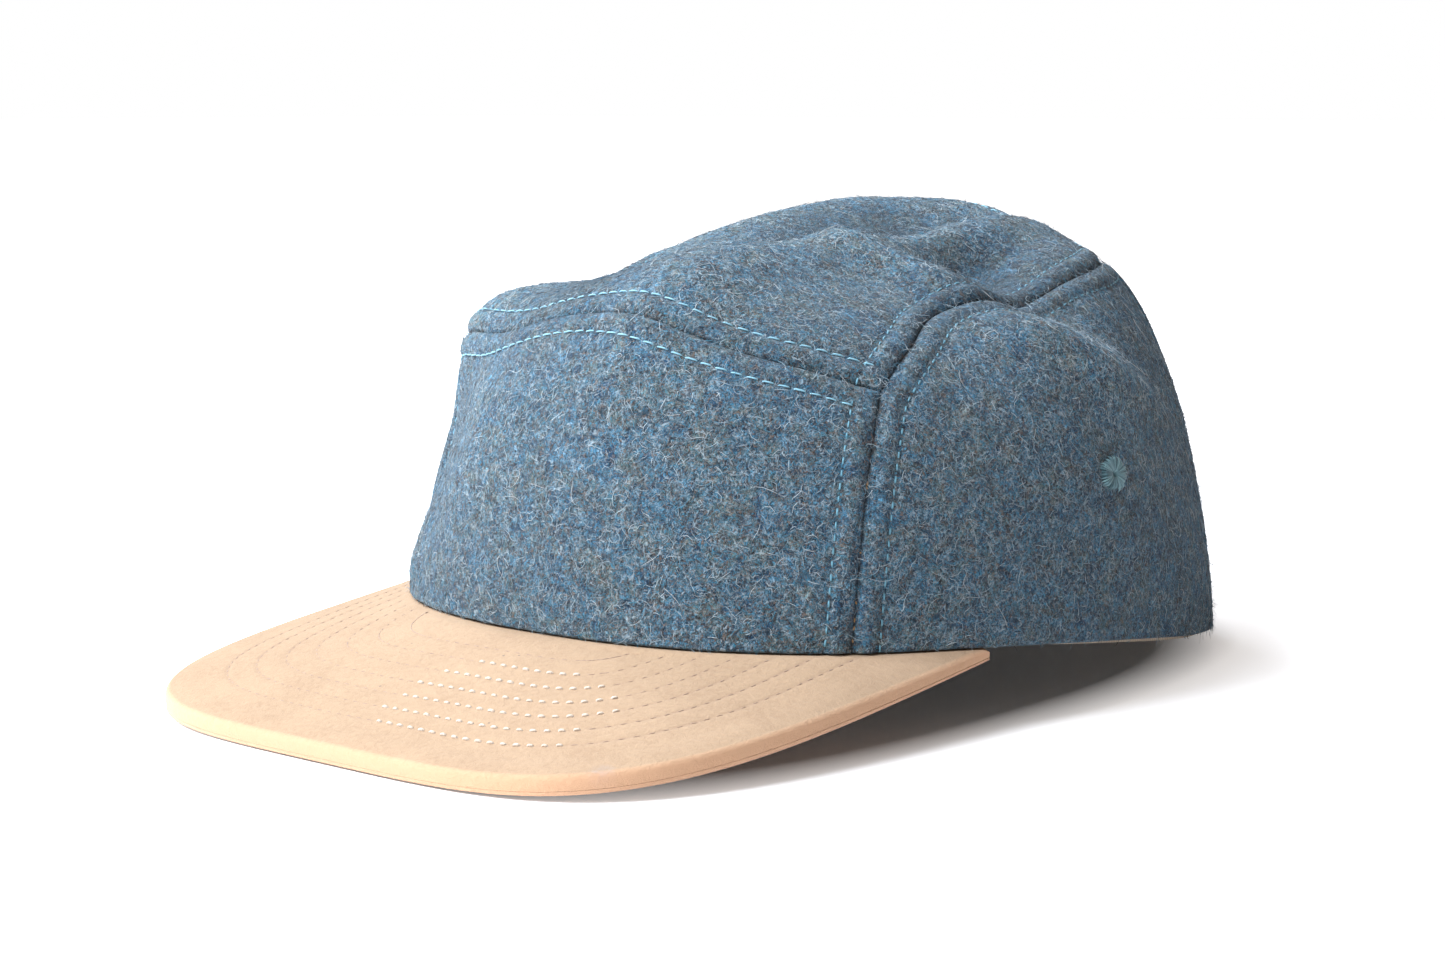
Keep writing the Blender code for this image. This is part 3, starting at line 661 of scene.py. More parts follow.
def archOutline():  # across and up, from below the right foot over to below the left one
    feet = [-arch["below"]] + list(np.linspace(0, arch["leg"], 8, endpoint=False))
    right = [(-arch["halfWidth"], z) for z in feet]
    over = [(arch["halfWidth"] * math.cos(t), arch["leg"] + (arch["height"] - arch["leg"]) * math.sin(t))
            for t in np.linspace(math.pi, 0, 33)]
    return np.array(right + over + [(arch["halfWidth"], z) for z in feet[::-1]])


# Wool panels: rolled in at their seams, puffed beside them and drawn down along the topstitching

panelLook = {
    "seamGap": 0.0001, "seamDepth": 0.0009, "seamWidth": 0.0018, "hemRoll": 0.0009,
    "puff": 0.00058, "puffAt": 0.0033, "puffWidth": 0.0019, "groove": 0.00050, "grooveWidth": 0.0009,
    "pucker": 0.25, "wave": (11, 9, 0.026, 0.00018), "crowding": 0.78, "deepest": 0.7,
    # how much a rolled edge takes off inside and out
    "hemShares": (0.8, 1.0), "archShares": (0.4, 0.6),
    "shadeWidth": 0.00038, "seamShades": (1.0, 1.0, 0.5, 0.7), "crestAside": 0.22, "crestRange": 0.017,
    # grid cells along and up
    "front": (110, 64), "top": (110, 130), "side": (150, 64), "back": (110, 64),
}


def rollOff(distance, radius):
    near = np.clip(1 - distance / radius, 0, 1)
    return radius * (1 - np.sqrt(np.maximum(1 - near ** 2, 0)))


def woolRelief(points):
    fromSeam = np.min([nearestOn(points, line)[0] for line in seamLines], axis=0)
    relief = panelLook["puff"] * np.exp(-((fromSeam - panelLook["puffAt"]) / panelLook["puffWidth"]) ** 2)
    relief -= panelLook["seamDepth"] * np.clip(1 - fromSeam / panelLook["seamWidth"], 0, 1) ** 2
    grooves = np.zeros(len(points))
    for kind, line in rowLines:
        away, run = nearestOn(points, line)
        pucker = 1 - panelLook["pucker"] * (1 - np.cos(2 * np.pi * run / rowLook[kind][0]))
        grooves = np.maximum(grooves, pucker * np.exp(-(away / panelLook["grooveWidth"]) ** 2))
    return relief - panelLook["groove"] * grooves + softWave(points, *panelLook["wave"])


def crestShare(chart):  # 0 in a valley, 1 on a ridge
    across, along = chart.T
    around = sum(softRise(across + side * panelLook["crestAside"], along) for side in (1, -1)) / 2
    return np.clip(0.5 + (softRise(across, along) - around) / panelLook["crestRange"], 0, 1)


def woolPanel(name, low, high, left, right, size, lowIsSeam=False, hasArch=False):
    piece, u, v, isInner = slabGrid(name, *size)
    u, v = crowd(u, panelLook["crowding"]), crowd(v, panelLook["crowding"])
    coarse = np.linspace(0, 1, 25)
    rough = patch(low, high, left, right, *np.meshgrid(coarse, coarse))
    rough = crownAt(rough[..., 0], rough[..., 1])
    columnLength = np.interp(u, coarse, lengthsAlong(rough, 0))
    shortU = panelLook["seamGap"] / 2 / np.interp(v, coarse, lengthsAlong(rough, 1))
    shortV = panelLook["seamGap"] / 2 / columnLength
    lowV = shortV if lowIsSeam else 0 * shortV
    chart = patch(low, high, left, right, shortU + (1 - 2 * shortU) * u, lowV + (1 - lowV - shortV) * v)
    point, normal = crownFrame(*chart.T)
    lift, inset = np.zeros(len(u)), np.full(len(u), crown["wall"])
    lift[~isInner] = woolRelief(point[~isInner])
    rolls = []
    if not lowIsSeam:
        rolls.append((rollOff(v * columnLength, panelLook["hemRoll"]), panelLook["hemShares"]))
    if hasArch:
        fromArch = nearestOn(point[:, [0, 2]], archOutline())[0]
        rolls.append((rollOff(fromArch, arch["roll"]), panelLook["archShares"]))
    for roll, (inside, outside) in rolls:
        inset -= inside * roll
        lift -= outside * roll
    offset = np.where(isInner, -inset, np.maximum(lift, -panelLook["deepest"] * crown["wall"]))
    writePoints(piece, point + normal * offset[:, None])
    # how deep in a seam and how high on a fold each point lies, for the painted shade in seams and valleys and the
    # painted highlight on ridges in the material
    addLayer(piece, "groove", np.max([shade * np.exp(-(nearestOn(point, line)[0] / panelLook["shadeWidth"]) ** 2)
                                      for shade, line in zip(panelLook["seamShades"], seamLines)], axis=0))
    addLayer(piece, "crest", crestShare(chart))
    return piece


def cutArch(piece):
    editAll(piece, faceOut)
    outline = archOutline()
    bpy.ops.object.select_all(action="DESELECT")
    bpy.ops.mesh.primitive_circle_add(vertices=len(outline), radius=1, fill_type="NGON", location=(0, 0, 0))
    cutter = takeObject("archCutter")
    depth = crown["backReach"] / 2 + standsBack
    writePoints(cutter, np.column_stack([outline[:, 0], np.full(len(outline), depth), outline[:, 1]]))
    editAll(cutter, extrudeBy(0, crown["backReach"], 0), faceOut)
    shapeBy(piece, "BOOLEAN", operation="DIFFERENCE", solver="MANIFOLD", object=cutter)
    bpy.data.objects.remove(cutter, do_unlink=True)


leftBase = baseArc(seams["frontAzimuth"], seams["backAzimuth"])
frontBase = baseArc(-seams["frontAzimuth"], seams["frontAzimuth"])
backBase = baseArc(-seams["backAzimuth"], -360 + seams["backAzimuth"])
leftCurves = (leftBase, sideSeam, templeSeam, napeSeam)
for name, node, curves, size, lowIsSeam, hasArch in (
        ("wool_front", "front_panel", (frontBase, frontSeam, mirrored(templeSeam), templeSeam), "front", False, False),
        ("wool_top", "top_panel", (frontSeam, backSeam, mirrored(sideSeam), sideSeam), "top", True, False),
        ("wool_side_left", "side_panel_left", leftCurves, "side", False, False),
        ("wool_side_right", "side_panel_right", map(mirrored, leftCurves), "side", False, False),
        ("wool_back", "back_panel", (backBase, backSeam, mirrored(napeSeam), napeSeam), "back", False, True)):
    panel = woolPanel(name, *curves, panelLook[size], lowIsSeam, hasArch)
    if hasArch:
        cutArch(panel)
    finishPiece(panel, wool, node)
print("wool panels ready")


# Many copies of one small shape, each with its own place and directions, as one mesh

def scatter(name, shape, origins, alongs, outs, scales):
    points, faces = shape
    crosses = np.cross(outs, alongs)
    copies = (origins[:, None, :] + scales[:, None, None] * (
        points[None, :, 0, None] * alongs[:, None, :] + points[None, :, 1, None] * crosses[:, None, :]
        + points[None, :, 2, None] * outs[:, None, :]))
    return meshOf(name, copies, faces)


def meshOf(name, copies, faces, tones=None):
    # one mesh from copies of the same faces, each with its own points
    count, pointCount = copies.shape[:2]
    faces = (faces[None, :, :] + (np.arange(count) * pointCount)[:, None, None]).reshape(-1, faces.shape[1])
    mesh = bpy.data.meshes.new(name)
    mesh.vertices.add(count * pointCount)
    mesh.vertices.foreach_set("co", copies.ravel())
    mesh.loops.add(faces.size)
    mesh.loops.foreach_set("vertex_index", faces.ravel().astype(np.int32))
    mesh.polygons.add(len(faces))
    mesh.polygons.foreach_set("loop_start", np.arange(0, faces.size, faces.shape[1], dtype=np.int32))
    mesh.update(calc_edges=True)
    piece = bpy.data.objects.new(name, mesh)
    if tones is not None:
        addLayer(piece, "tone", np.repeat(tones, pointCount))
    mesh.validate()
    mesh.shade_smooth()
    bpy.context.scene.collection.objects.link(piece)
    return piece


def threadShape(length, radius, sag, sides=6, rings=7):
    # one stitch: a rounded thread whose ends dip into the cloth, all in four-cornered faces
    points, faces = [], []
    for k in range(rings):
        s = -1 + 2 * k / (rings - 1)
        swell = radius * (0.15 + 0.85 * math.sqrt(max(0.0, 1 - abs(s) ** 4)))
        for n in range(sides):
            turn = 2 * math.pi * n / sides
            points.append((s * length / 2, swell * math.cos(turn), swell * math.sin(turn) - sag * s ** 4))
    for k in range(rings - 1):
        for n in range(sides):
            m = (n + 1) % sides
            faces.append((k * sides + n, k * sides + m, (k + 1) * sides + m, (k + 1) * sides + n))
    for ring in (0, rings - 1):
        start = ring * sides
        caps = [(start, start + 1, start + 2, start + 3), (start, start + 3, start + 4, start + 5)]
        faces += [cap[::-1] for cap in caps] if ring == 0 else caps
    return np.array(points), np.array([face[::-1] for face in faces])


def evenly(points, pitch):
    # places at even lengths along a line of points, with the directions there
    run = np.concatenate([[0], np.cumsum(np.linalg.norm(np.diff(points[:, :3], axis=0), axis=1))])
    count = max(2, int(run[-1] / pitch))
    where = (np.arange(count) + 0.5) * run[-1] / count
    spots, ahead, behind = [np.stack([np.interp(where + step, run, column) for column in points.T], -1)
                            for step in (0, 2e-4, -2e-4)]
    return spots, ahead - behind


def turned(alongs, outs, angle):
    return np.cos(angle)[:, None] * alongs + np.sin(angle)[:, None] * np.cross(outs, alongs)


rng = np.random.default_rng(5)
for kind, thread in (("bright", blueThread), ("sunk", sunkThread)):
    pitch, length, radius, sunk, twist = rowLook[kind]
    spots, aheads = zip(*[evenly(np.hstack([onCrown(chart), chart]), pitch)
                          for rowKind, chart in rowCharts if rowKind == kind])
    spots, aheads = np.vstack(spots), np.vstack(aheads)
    origins, outs = crownFrame(spots[:, 3], spots[:, 4])
    height = softWave(origins, *panelLook["wave"]) - rowLook["inGroove"] * panelLook["groove"] - sunk + radius
    alongs = turned(alongSurface(aheads[:, :3], outs), outs, twist + rowLook["uneven"] * rng.normal(size=len(outs)))
    stitches = scatter("topstitching_" + kind, threadShape(length, radius, rowLook["dip"] * radius),
                       origins + height[:, None] * outs, alongs, outs, rng.uniform(*rowLook["scales"], len(outs)))
    addRide(stitches, thread)
    print("topstitching ready:", kind, len(outs))

# a few tan threads show in the left front seam
fleckLook = {"at": (0.576, 0.560, 0.338, 0.180, 0.123, 0.095, 0.050), "shape": (0.0011, 0.00022, 0.0002),
             "sunk": 0.0008}
spot, normal = crownFrame(*templeSeam(np.array(fleckLook["at"])).T)
alongs = alongSurface(rng.normal(size=spot.shape), normal)
flecks = scatter("seam_flecks", threadShape(*fleckLook["shape"]), spot - fleckLook["sunk"] * normal, alongs, normal,
                 np.ones(len(spot)))
addRide(flecks, tanThread)


# Peak: two layers of suede, the upper one rounded over its rim and drawn down by rows of stitches

peakLook = {
    "upperGrid": (210, 72), "lowerGrid": (120, 24), "rimCrowding": 1.35,
    "rimRoll": 0.0010, "underRoll": 0.0005, "edgeShade": 0.0012, "cornerSoftness": 0.005, "deepest": 0.075,
    "rowDepth": 0.00010, "rowWidth": 0.0007, "wave": (21, 8, 0.035, 0.00022), "waveFrom": 0.012,
    "rimPuff": (0.00022, 0.004, 0.003), "reliefFrom": 0.02, "layersApart": 0.8, "rowsFrom": (0.0015, 1.4),
}
# pitch, length, radius and how deep the thread lies; the thread is thicker and paler in part of the front
peakStitch = {"pitch": 0.0031, "plain": (0.0019, 0.00012, 0.00010), "cream": (0.0019, 0.00034, 0.00016),
              "creamMiddle": (0.020, -0.104), "creamHalf": (0.027, 0.0185), "break": 0.008, "fromCrown": 0.0015,
              "uneven": 0.04, "scales": (0.90, 1.08), "dip": 1.8}


def peakRim(share):
    angle = np.linspace(0, math.pi, 1441)
    power = 2 / peak["squareness"]
    x = peakCorner[0] * np.sign(np.cos(angle)) * np.abs(np.cos(angle)) ** power
    forward = np.abs(np.sin(angle)) ** power
    run = np.concatenate([[0], np.cumsum(np.hypot(np.diff(x), peak["length"] * np.diff(forward)))])
    rimX, rimForward = np.interp(share * run[-1], run, x), np.interp(share * run[-1], run, forward)
    seat = baseUp(np.array([peak["cornerAzimuth"]]))[0] - crown["gap"]
    frontTop = peak["underLayer"] + crown["gap"] + peak["topLayer"]
    return np.stack([rimX - peak["lean"] * rimForward, peakCorner[1] - peak["length"] * rimForward,
                     seat + (frontTop - seat) * rimForward], -1), rimForward


def peakPlace(u, v):
    # v under zero is the tuck beneath the crown, 0 its outline and 1 the rim
    azimuth = peak["cornerAzimuth"] * (1 - 2 * u)
    turn = np.radians(azimuth)
    reach = baseReach(azimuth)
    outward = np.stack([np.sin(turn), -np.cos(turn)], -1)
    seat = baseUp(azimuth) - crown["gap"]
    root = np.column_stack([outward * reach[:, None], seat]) + np.array([0, standsBack, 0])
    rim, forward = peakRim(u)
    point = root + (rim - root) * np.maximum(v, 0)[:, None]
    point[:, :2] += outward * (np.minimum(v, 0) * peak["tuck"])[:, None]
    return point, 1 - peak["thinning"] * (1 - forward) ** 2


rimLine = peakRim(np.linspace(0, 1, 900))[0][:, :2]
rowDepths = [peakRows["first"] + k * peakRows["pitch"] for k in range(peakRows["count"])]


def softDepthIn(places):
    # how far inside the rim a place lies, with rounder corners the deeper it is
    def nearness(where):
        return -np.log(sum(np.exp(-np.hypot(*(where - spot).T) / peakLook["cornerSoftness"]) for spot in rimLine[::3]))
    depths = np.linspace(0, peakLook["deepest"], 151)
    inward = rimLine[len(rimLine) // 2] + depths[:, None] * np.array([0, 1])
    return np.interp(nearness(places), nearness(inward), depths)


def peakRelief(point):
    fromRim = nearestOn(point[:, :2], rimLine)[0]
    puff, puffAt, puffWidth = peakLook["rimPuff"]
    relief = softWave(point, *peakLook["wave"]) * np.clip(fromRim / peakLook["waveFrom"], 0, 1)
    relief += puff * np.exp(-((fromRim - puffAt) / puffWidth) ** 2)
    depth = softDepthIn(point[:, :2])
    for distance in rowDepths:
        relief -= peakLook["rowDepth"] * np.exp(-((depth - distance) / peakLook["rowWidth"]) ** 2)
    return relief, fromRim, depth


def peakPiece(name, node, material, size, isTop):
    piece, u, v, isInner = slabGrid(name, *size)
    v = v * (1 + 1 / size[1]) - 1 / size[1]  # the first row of cells is the tuck
    v = np.where(v < -1e-6, -1.0, 1 - (1 - np.maximum(v, 0)) ** peakLook["rimCrowding"])
    point, full = peakPlace(u, v)
    relief, fromRim, depth = peakRelief(point)
    fromRim = np.where(v < 0, 1, fromRim)
    if isTop:
        over = relief * (v > peakLook["reliefFrom"]) - rollOff(fromRim, peakLook["rimRoll"]) * full
        under = -(peak["topLayer"] + peakLook["layersApart"] * crown["gap"]) * full
        fade, start = peakLook["rowsFrom"]
        addLayer(piece, "fromRow", depth - peakRows["first"])
        addLayer(piece, "inRows", np.clip((depth - peakRows["first"]) / fade + start, 0, 1))
    else:
        over = -peak["topLayer"] * full - crown["gap"]
        under = over - (peak["underLayer"] - rollOff(fromRim, peakLook["underRoll"])) * full
    point[:, 2] += np.where(isInner, under, over)
    writePoints(piece, point)
    addLayer(piece, "edge", np.clip(1 - fromRim / peakLook["edgeShade"], 0, 1))
    finishPiece(piece, material, node)


peakPiece("peak_upper_suede", "peak_top", suede, peakLook["upperGrid"], True)
peakPiece("peak_lower_suede", "peak_under", underSuede, peakLook["lowerGrid"], False)


def peakRow(distance):
    # where the lines running straight in from the rim reach this depth, as far as the crown leaves it free
    tangent = unit(np.gradient(rimLine, axis=0))
    inward = np.stack([tangent[:, 1], -tangent[:, 0]], -1)
    steps = np.linspace(0, distance * 1.3, 40)
    depth = softDepthIn((rimLine[:, None] + inward[:, None] * steps[:, None]).reshape(-1, 2))
    depth = depth.reshape(len(rimLine), -1)
    first = np.maximum((depth > distance).argmax(1), 1)
    share = np.array([np.interp(distance, row[k - 1:k + 1], steps[k - 1:k + 1]) for row, k in zip(depth, first)])
    line = (rimLine + inward * share[:, None])[depth.max(1) > distance]
    x, y = (line - np.array([0, standsBack])).T
    return line[np.hypot(x, y) > baseReach(np.degrees(np.arctan2(x, -y))) + peakStitch["fromCrown"]]


def peakSurface(places):
    # height and normal of the upper suede at places seen from above
    uu, vv = [grid.ravel() for grid in np.meshgrid(np.linspace(0.005, 0.995, 90), np.linspace(0, 1, 30))]
    coarse = peakPlace(uu, vv)[0][:, :2]
    nearest = ((places[:, None] - coarse[None]) ** 2).sum(-1).argmin(1)
    u, v = uu[nearest], vv[nearest]
    for step in range(5):
        point = peakPlace(u, v)[0]
        byU, byV = (peakPlace(u + 1e-4, v)[0] - point) / 1e-4, (peakPlace(u, v + 1e-4)[0] - point) / 1e-4
        off = places - point[:, :2]
        det = byU[:, 0] * byV[:, 1] - byU[:, 1] * byV[:, 0]
        u = np.clip(u + (off[:, 0] * byV[:, 1] - off[:, 1] * byV[:, 0]) / det, 0.001, 0.998)
        v = np.clip(v + (byU[:, 0] * off[:, 1] - byU[:, 1] * off[:, 0]) / det, 0, 0.998)
    normal = np.cross(byU, byV)
    return point, unit(normal * np.sign(normal[:, 2:3]))


spots, aheads = [], []
for distance in rowDepths:
    row = peakRow(distance)
    breaks = np.where(np.linalg.norm(np.diff(row, axis=0), axis=1) > peakStitch["break"])[0] + 1
    for line in np.split(row, breaks):
        if len(line) > 12:
            spot, ahead = evenly(np.column_stack([line, np.zeros(len(line))]), peakStitch["pitch"])
            spots.append(spot[:, :2])
            aheads.append(ahead)
origins, outs = peakSurface(np.vstack(spots))
relief = peakRelief(origins)[0]
alongs = turned(alongSurface(np.vstack(aheads), outs), outs, peakStitch["uneven"] * rng.normal(size=len(outs)))
scales = rng.uniform(*peakStitch["scales"], len(origins))
fromCream = np.abs((origins[:, :2] - peakStitch["creamMiddle"]) / peakStitch["creamHalf"])
isCream = (fromCream ** 3).sum(1) < 1
for kind, chosen, thread in (("plain", ~isCream, suedeThread), ("cream", isCream, creamThread)):
    length, radius, sunk = peakStitch[kind]
    places = origins[chosen] + np.array([0, 0, 1]) * (relief[chosen] - sunk + radius)[:, None]
    stitches = scatter("peak_stitching_" + kind, threadShape(length, radius, peakStitch["dip"] * radius), places,
                       alongs[chosen], outs[chosen], scales[chosen])
    addRide(stitches, thread)
print("peak ready:", len(origins), "stitches")


# Sweatband, strap and clasp inside the crown

band = {"wall": 0.0012, "height": 0.030, "reveal": 0.0010, "clearance": 0.0006, "edge": 0.0005, "grid": (220, 12),
        "crowding": 0.7}
strap = {"wall": 0.0018, "height": 0.018, "lift": 0.003, "overlap": 0.016, "edge": 0.0006, "grid": (60, 14),
         "crowding": 0.7}
clasp = {"edge": 0.0003, "angle": 40}


def riseForHeight(azimuth, height):
    # how far up its section a point lies that is this high above the lower edge
    tries = np.linspace(-0.1, 0.6, 281)
    found = np.empty(len(azimuth))
    for one in np.unique(azimuth):
        here = azimuth == one
        foot = crownAt(*toChart(np.array([one]), np.zeros(1)))[0, 2]
        up = crownAt(*toChart(np.full(len(tries), one), tries))[:, 2] - foot
        found[here] = np.interp(height[here], up, tries)
    return found


def bandPiece(name, node, material, look, azimuths, low, inset):
    piece, u, v, isInner = slabGrid(name, *look["grid"])
    v = crowd(v, look["crowding"])
    azimuth = azimuths[0] + (azimuths[1] - azimuths[0]) * u
    tall = look.get("lift", 0) + look["height"] - low(u)
    up = low(u) + tall * v
    point, normal = crownFrame(*toChart(azimuth, riseForHeight(azimuth, up)))
    roll = rollOff(np.minimum(v, 1 - v) * tall, look["edge"])
    depth = np.where(isInner, inset + look["wall"] - roll, inset + roll)
    writePoints(piece, point - normal * depth[:, None])
    # the weave is laid in metres along and up the band
    layer = piece.data.uv_layers.active or piece.data.uv_layers.new(name="cloth")
    corner = np.empty(len(piece.data.loops), dtype=np.int32)
    piece.data.loops.foreach_get("vertex_index", corner)
    across = (azimuth - azimuths[0]) * math.radians(1) * crown["backReach"]
    layer.data.foreach_set("uv", np.stack([across[corner], up[corner]], -1).ravel())
    finishPiece(piece, material, node)


strapReach = math.degrees((arch["halfWidth"] + strap["overlap"]) / crown["backReach"])
bandEnd = 180 - strapReach - math.degrees(4 * crown["gap"] / crown["backReach"])


def bandLow(u):
    past = (np.abs(bandEnd * (2 * u - 1)) - peak["cornerAzimuth"]) / (bandEnd - peak["cornerAzimuth"])
    return -band["reveal"] * np.sin(math.pi * np.clip(past, 0, 1))


bandPiece("cotton_sweatband", "sweatband", twill, band, (-bandEnd, bandEnd), bandLow,
          crown["wall"] + band["clearance"])
bandPiece("suede_strap", "strap", strapSuede, strap, (180 - strapReach, 180 + strapReach),
          lambda u: np.full(len(u), strap["lift"]), crown["wall"] + crown["gap"])
print("bands ready")

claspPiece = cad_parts["clasp"].copy()
claspPiece.data = claspPiece.data.copy()
claspPiece.name = claspPiece.data.name = "brass_clasp"
claspPiece.parent = None
bpy.context.scene.collection.objects.link(claspPiece)
editAll(claspPiece, lambda: bpy.ops.mesh.remove_doubles(threshold=1e-6), bpy.ops.mesh.tris_convert_to_quads)
shapeBy(claspPiece, "BEVEL", width=clasp["edge"], segments=3, limit_method="ANGLE",
        angle_limit=math.radians(clasp["angle"]))
finishPiece(claspPiece, brass, "clasp", clasp["angle"])
print("clasp ready")


# Embroidered eyelets: threads laid from a small hole outwards over a low ring of padding

eyelet = {"across": 0.737, "along": 0.010, "radius": 0.0043, "widening": 1.2, "hole": 0.00035, "threads": 44,
          "threadRadius": 0.00030, "rise": 0.00085, "uneven": 0.00016,
          # the padding's ring and tube as shares of the radius, its flatness and its lift
          "ring": 0.48, "tube": 0.36, "flatness": 0.26, "padLift": 0.00012,
          # how the threads differ in direction and reach, a soft five-lobed outline, their thickness at the hole
          "spread": 0.3, "reaches": (0.86, 1.04), "lobes": (0.05, 5, 1), "innerShare": 0.30}


def eyeletPiece(name, node, side):
    centre, out = crownFrame(np.array([side * eyelet["across"]]), np.array([eyelet["along"]]))
    centre, out = centre[0] + woolRelief(centre)[0] * out[0], out[0]
    upward = unit(np.array([0, 0, 1.0]) - out[2] * out)
    sideways = eyelet["widening"] * np.cross(upward, out)
    picks = np.random.default_rng(31 + side)
    count = eyelet["threads"]
    turns = (np.arange(count) + picks.uniform(-eyelet["spread"], eyelet["spread"], count)) * 2 * np.pi / count
    alongs = np.cos(turns)[:, None] * sideways + np.sin(turns)[:, None] * upward
    lobe, lobes, start = eyelet["lobes"]
    outer = eyelet["radius"] * (picks.uniform(*eyelet["reaches"], count) + lobe * np.sin(lobes * turns + start))
    points, faces = threadShape(1.0, 1.0, 0.0, 6, 8)
    x, y, z = points.T[:, None]
    s = x * 2  # from -1 at the hole to 1 at the outer end
    thick = eyelet["threadRadius"] * (eyelet["innerShare"] + (1 - eyelet["innerShare"]) * (s + 1) / 2)
    height = picks.uniform(0, eyelet["uneven"], count)[:, None] + eyelet["rise"] * np.sqrt(np.clip(1 - s ** 4, 0, 1))
    reach = (eyelet["hole"] + outer)[:, None] / 2 + x * (outer - eyelet["hole"])[:, None]
    copies = (centre + reach[..., None] * alongs[:, None] + (z * thick + height)[..., None] * out
              + (y * thick)[..., None] * unit(np.cross(out, alongs))[:, None])
    addRide(meshOf(name, copies, faces, picks.uniform(0, 1, count)), eyeletThread, node)
    bpy.ops.object.select_all(action="DESELECT")
    bpy.ops.mesh.primitive_torus_add(major_segments=32, minor_segments=10, location=(0, 0, 0),
                                     major_radius=eyelet["radius"] * eyelet["ring"],
                                     minor_radius=eyelet["radius"] * eyelet["tube"])
    pad = takeObject(name + "_padding")
    writePoints(pad, centre + readPoints(pad) @ np.array([sideways, upward, out * eyelet["flatness"]])
                + out * eyelet["padLift"])
    finishPiece(pad, eyeletThread)


eyeletPiece("embroidered_eyelet_left", "eyelet_left", 1)
eyeletPiece("embroidered_eyelet_right", "eyelet_right", -1)
print("eyelets ready")


# Fibres of the brushed wool: thin three-sided strands, most of them lying curled on the cloth

fibreLook = {
    # count, stations, shortest and longest, thickness, slope off the cloth, curl, two colours
    "pale_fibres": (10600, 5, 0.0022, 0.0056, 0.00011, (0.02, 0.14), 1.2, (0.22, 0.31, 0.37), (0.68, 0.76, 0.80)),
    "blue_fibres": (9500, 4, 0.0016, 0.0045, 0.00013, (0.02, 0.12), 1.0, (0.02, 0.11, 0.19), (0.08, 0.33, 0.48)),
    "dark_fibres": (9500, 4, 0.0016, 0.0040, 0.00015, (0.02, 0.12), 1.0, (0.006, 0.008, 0.014), (0.15, 0.09, 0.065)),
    "fuzz": (12000, 4, 0.0009, 0.0020, 0.00008, (0.4, 1.6), 0.8, (0.10, 0.16, 0.21), (0.46, 0.53, 0.58)),
    "long_hairs": (130, 7, 0.0050, 0.0100, 0.00009, (0.04, 0.20), 0.6, (0.50, 0.53, 0.55), (0.88, 0.88, 0.85)),
}
# clearance from rows of stitches, share kept over them, clearance from eyelets and from the arch, and root depth
fibreClear = {"row": 0.0011, "kept": 0.15, "eyelet": 0.0044, "arch": 0.001, "root": 0.00012}
# how the strands bend, wave and droop along their length, how thick they are along it, and the nap in the valleys with
# its painted shade
fibreShape = {"bend": 2.2, "wave": 4, "droop": 1.9, "stations": (0, 0.2, 0.6, 1), "thickness": (0.5, 1, 1, 0.3),
              "ring": (0.5, 2.6, 4.7), "nap": (0.30, 1.4), "paintedValleyShade": 0.3, "chartReach": 0.996,
              "roughness": 0.85, "sheen": 0.2, "firstSeed": 100}


def fibrePlaces(count, picks):
    # places spread evenly over the crown, clear of the arched opening
    tries = picks.uniform(-1, 1, (count * 4, 2))
    tries = tries[np.hypot(*tries.T) < fibreShape["chartReach"]]
    area = np.linalg.norm(np.cross(*slopesOf(crownAt, *tries.T, 1e-3)), axis=1)
    tries = tries[picks.uniform(0, 1, len(tries)) < area / np.percentile(area, 98)]
    x, y, z = onCrown(tries).T
    inArch = (y > standsBack) & (np.abs(x) < arch["halfWidth"] + fibreClear["arch"])
    return tries[~(inArch & (z < arch["height"] + fibreClear["arch"]))][:count]


def strandMesh(name, path, sideways, radii, tones):
    # closed strands: a tip, rings of three and another tip
    ahead = unit(np.gradient(path, axis=1))
    sideOf = unit(np.cross(sideways[:, None], ahead))
    upOf = np.cross(ahead, sideOf)
    rings = [path[:, 1:-1] + radii[None, 1:-1, None] * (math.cos(t) * sideOf + math.sin(t) * upOf)[:, 1:-1]
             for t in fibreShape["ring"]]
    ringPoints = np.stack(rings, 2).reshape(len(path), -1, 3)
    points = np.concatenate([path[:, :1], ringPoints, path[:, -1:]], 1)
    last = points.shape[1] - 1
    faces = []
    for n in range(3):
        m = (n + 1) % 3
        faces.append((0, 1 + n, 1 + m))
        for here in range(1, last - 3, 3):
            faces += [(here + n, here + 3 + n, here + 3 + m), (here + n, here + 3 + m, here + m)]
        faces.append((last, last - 3 + m, last - 3 + n))
    return meshOf(name, points, np.array(faces), tones)


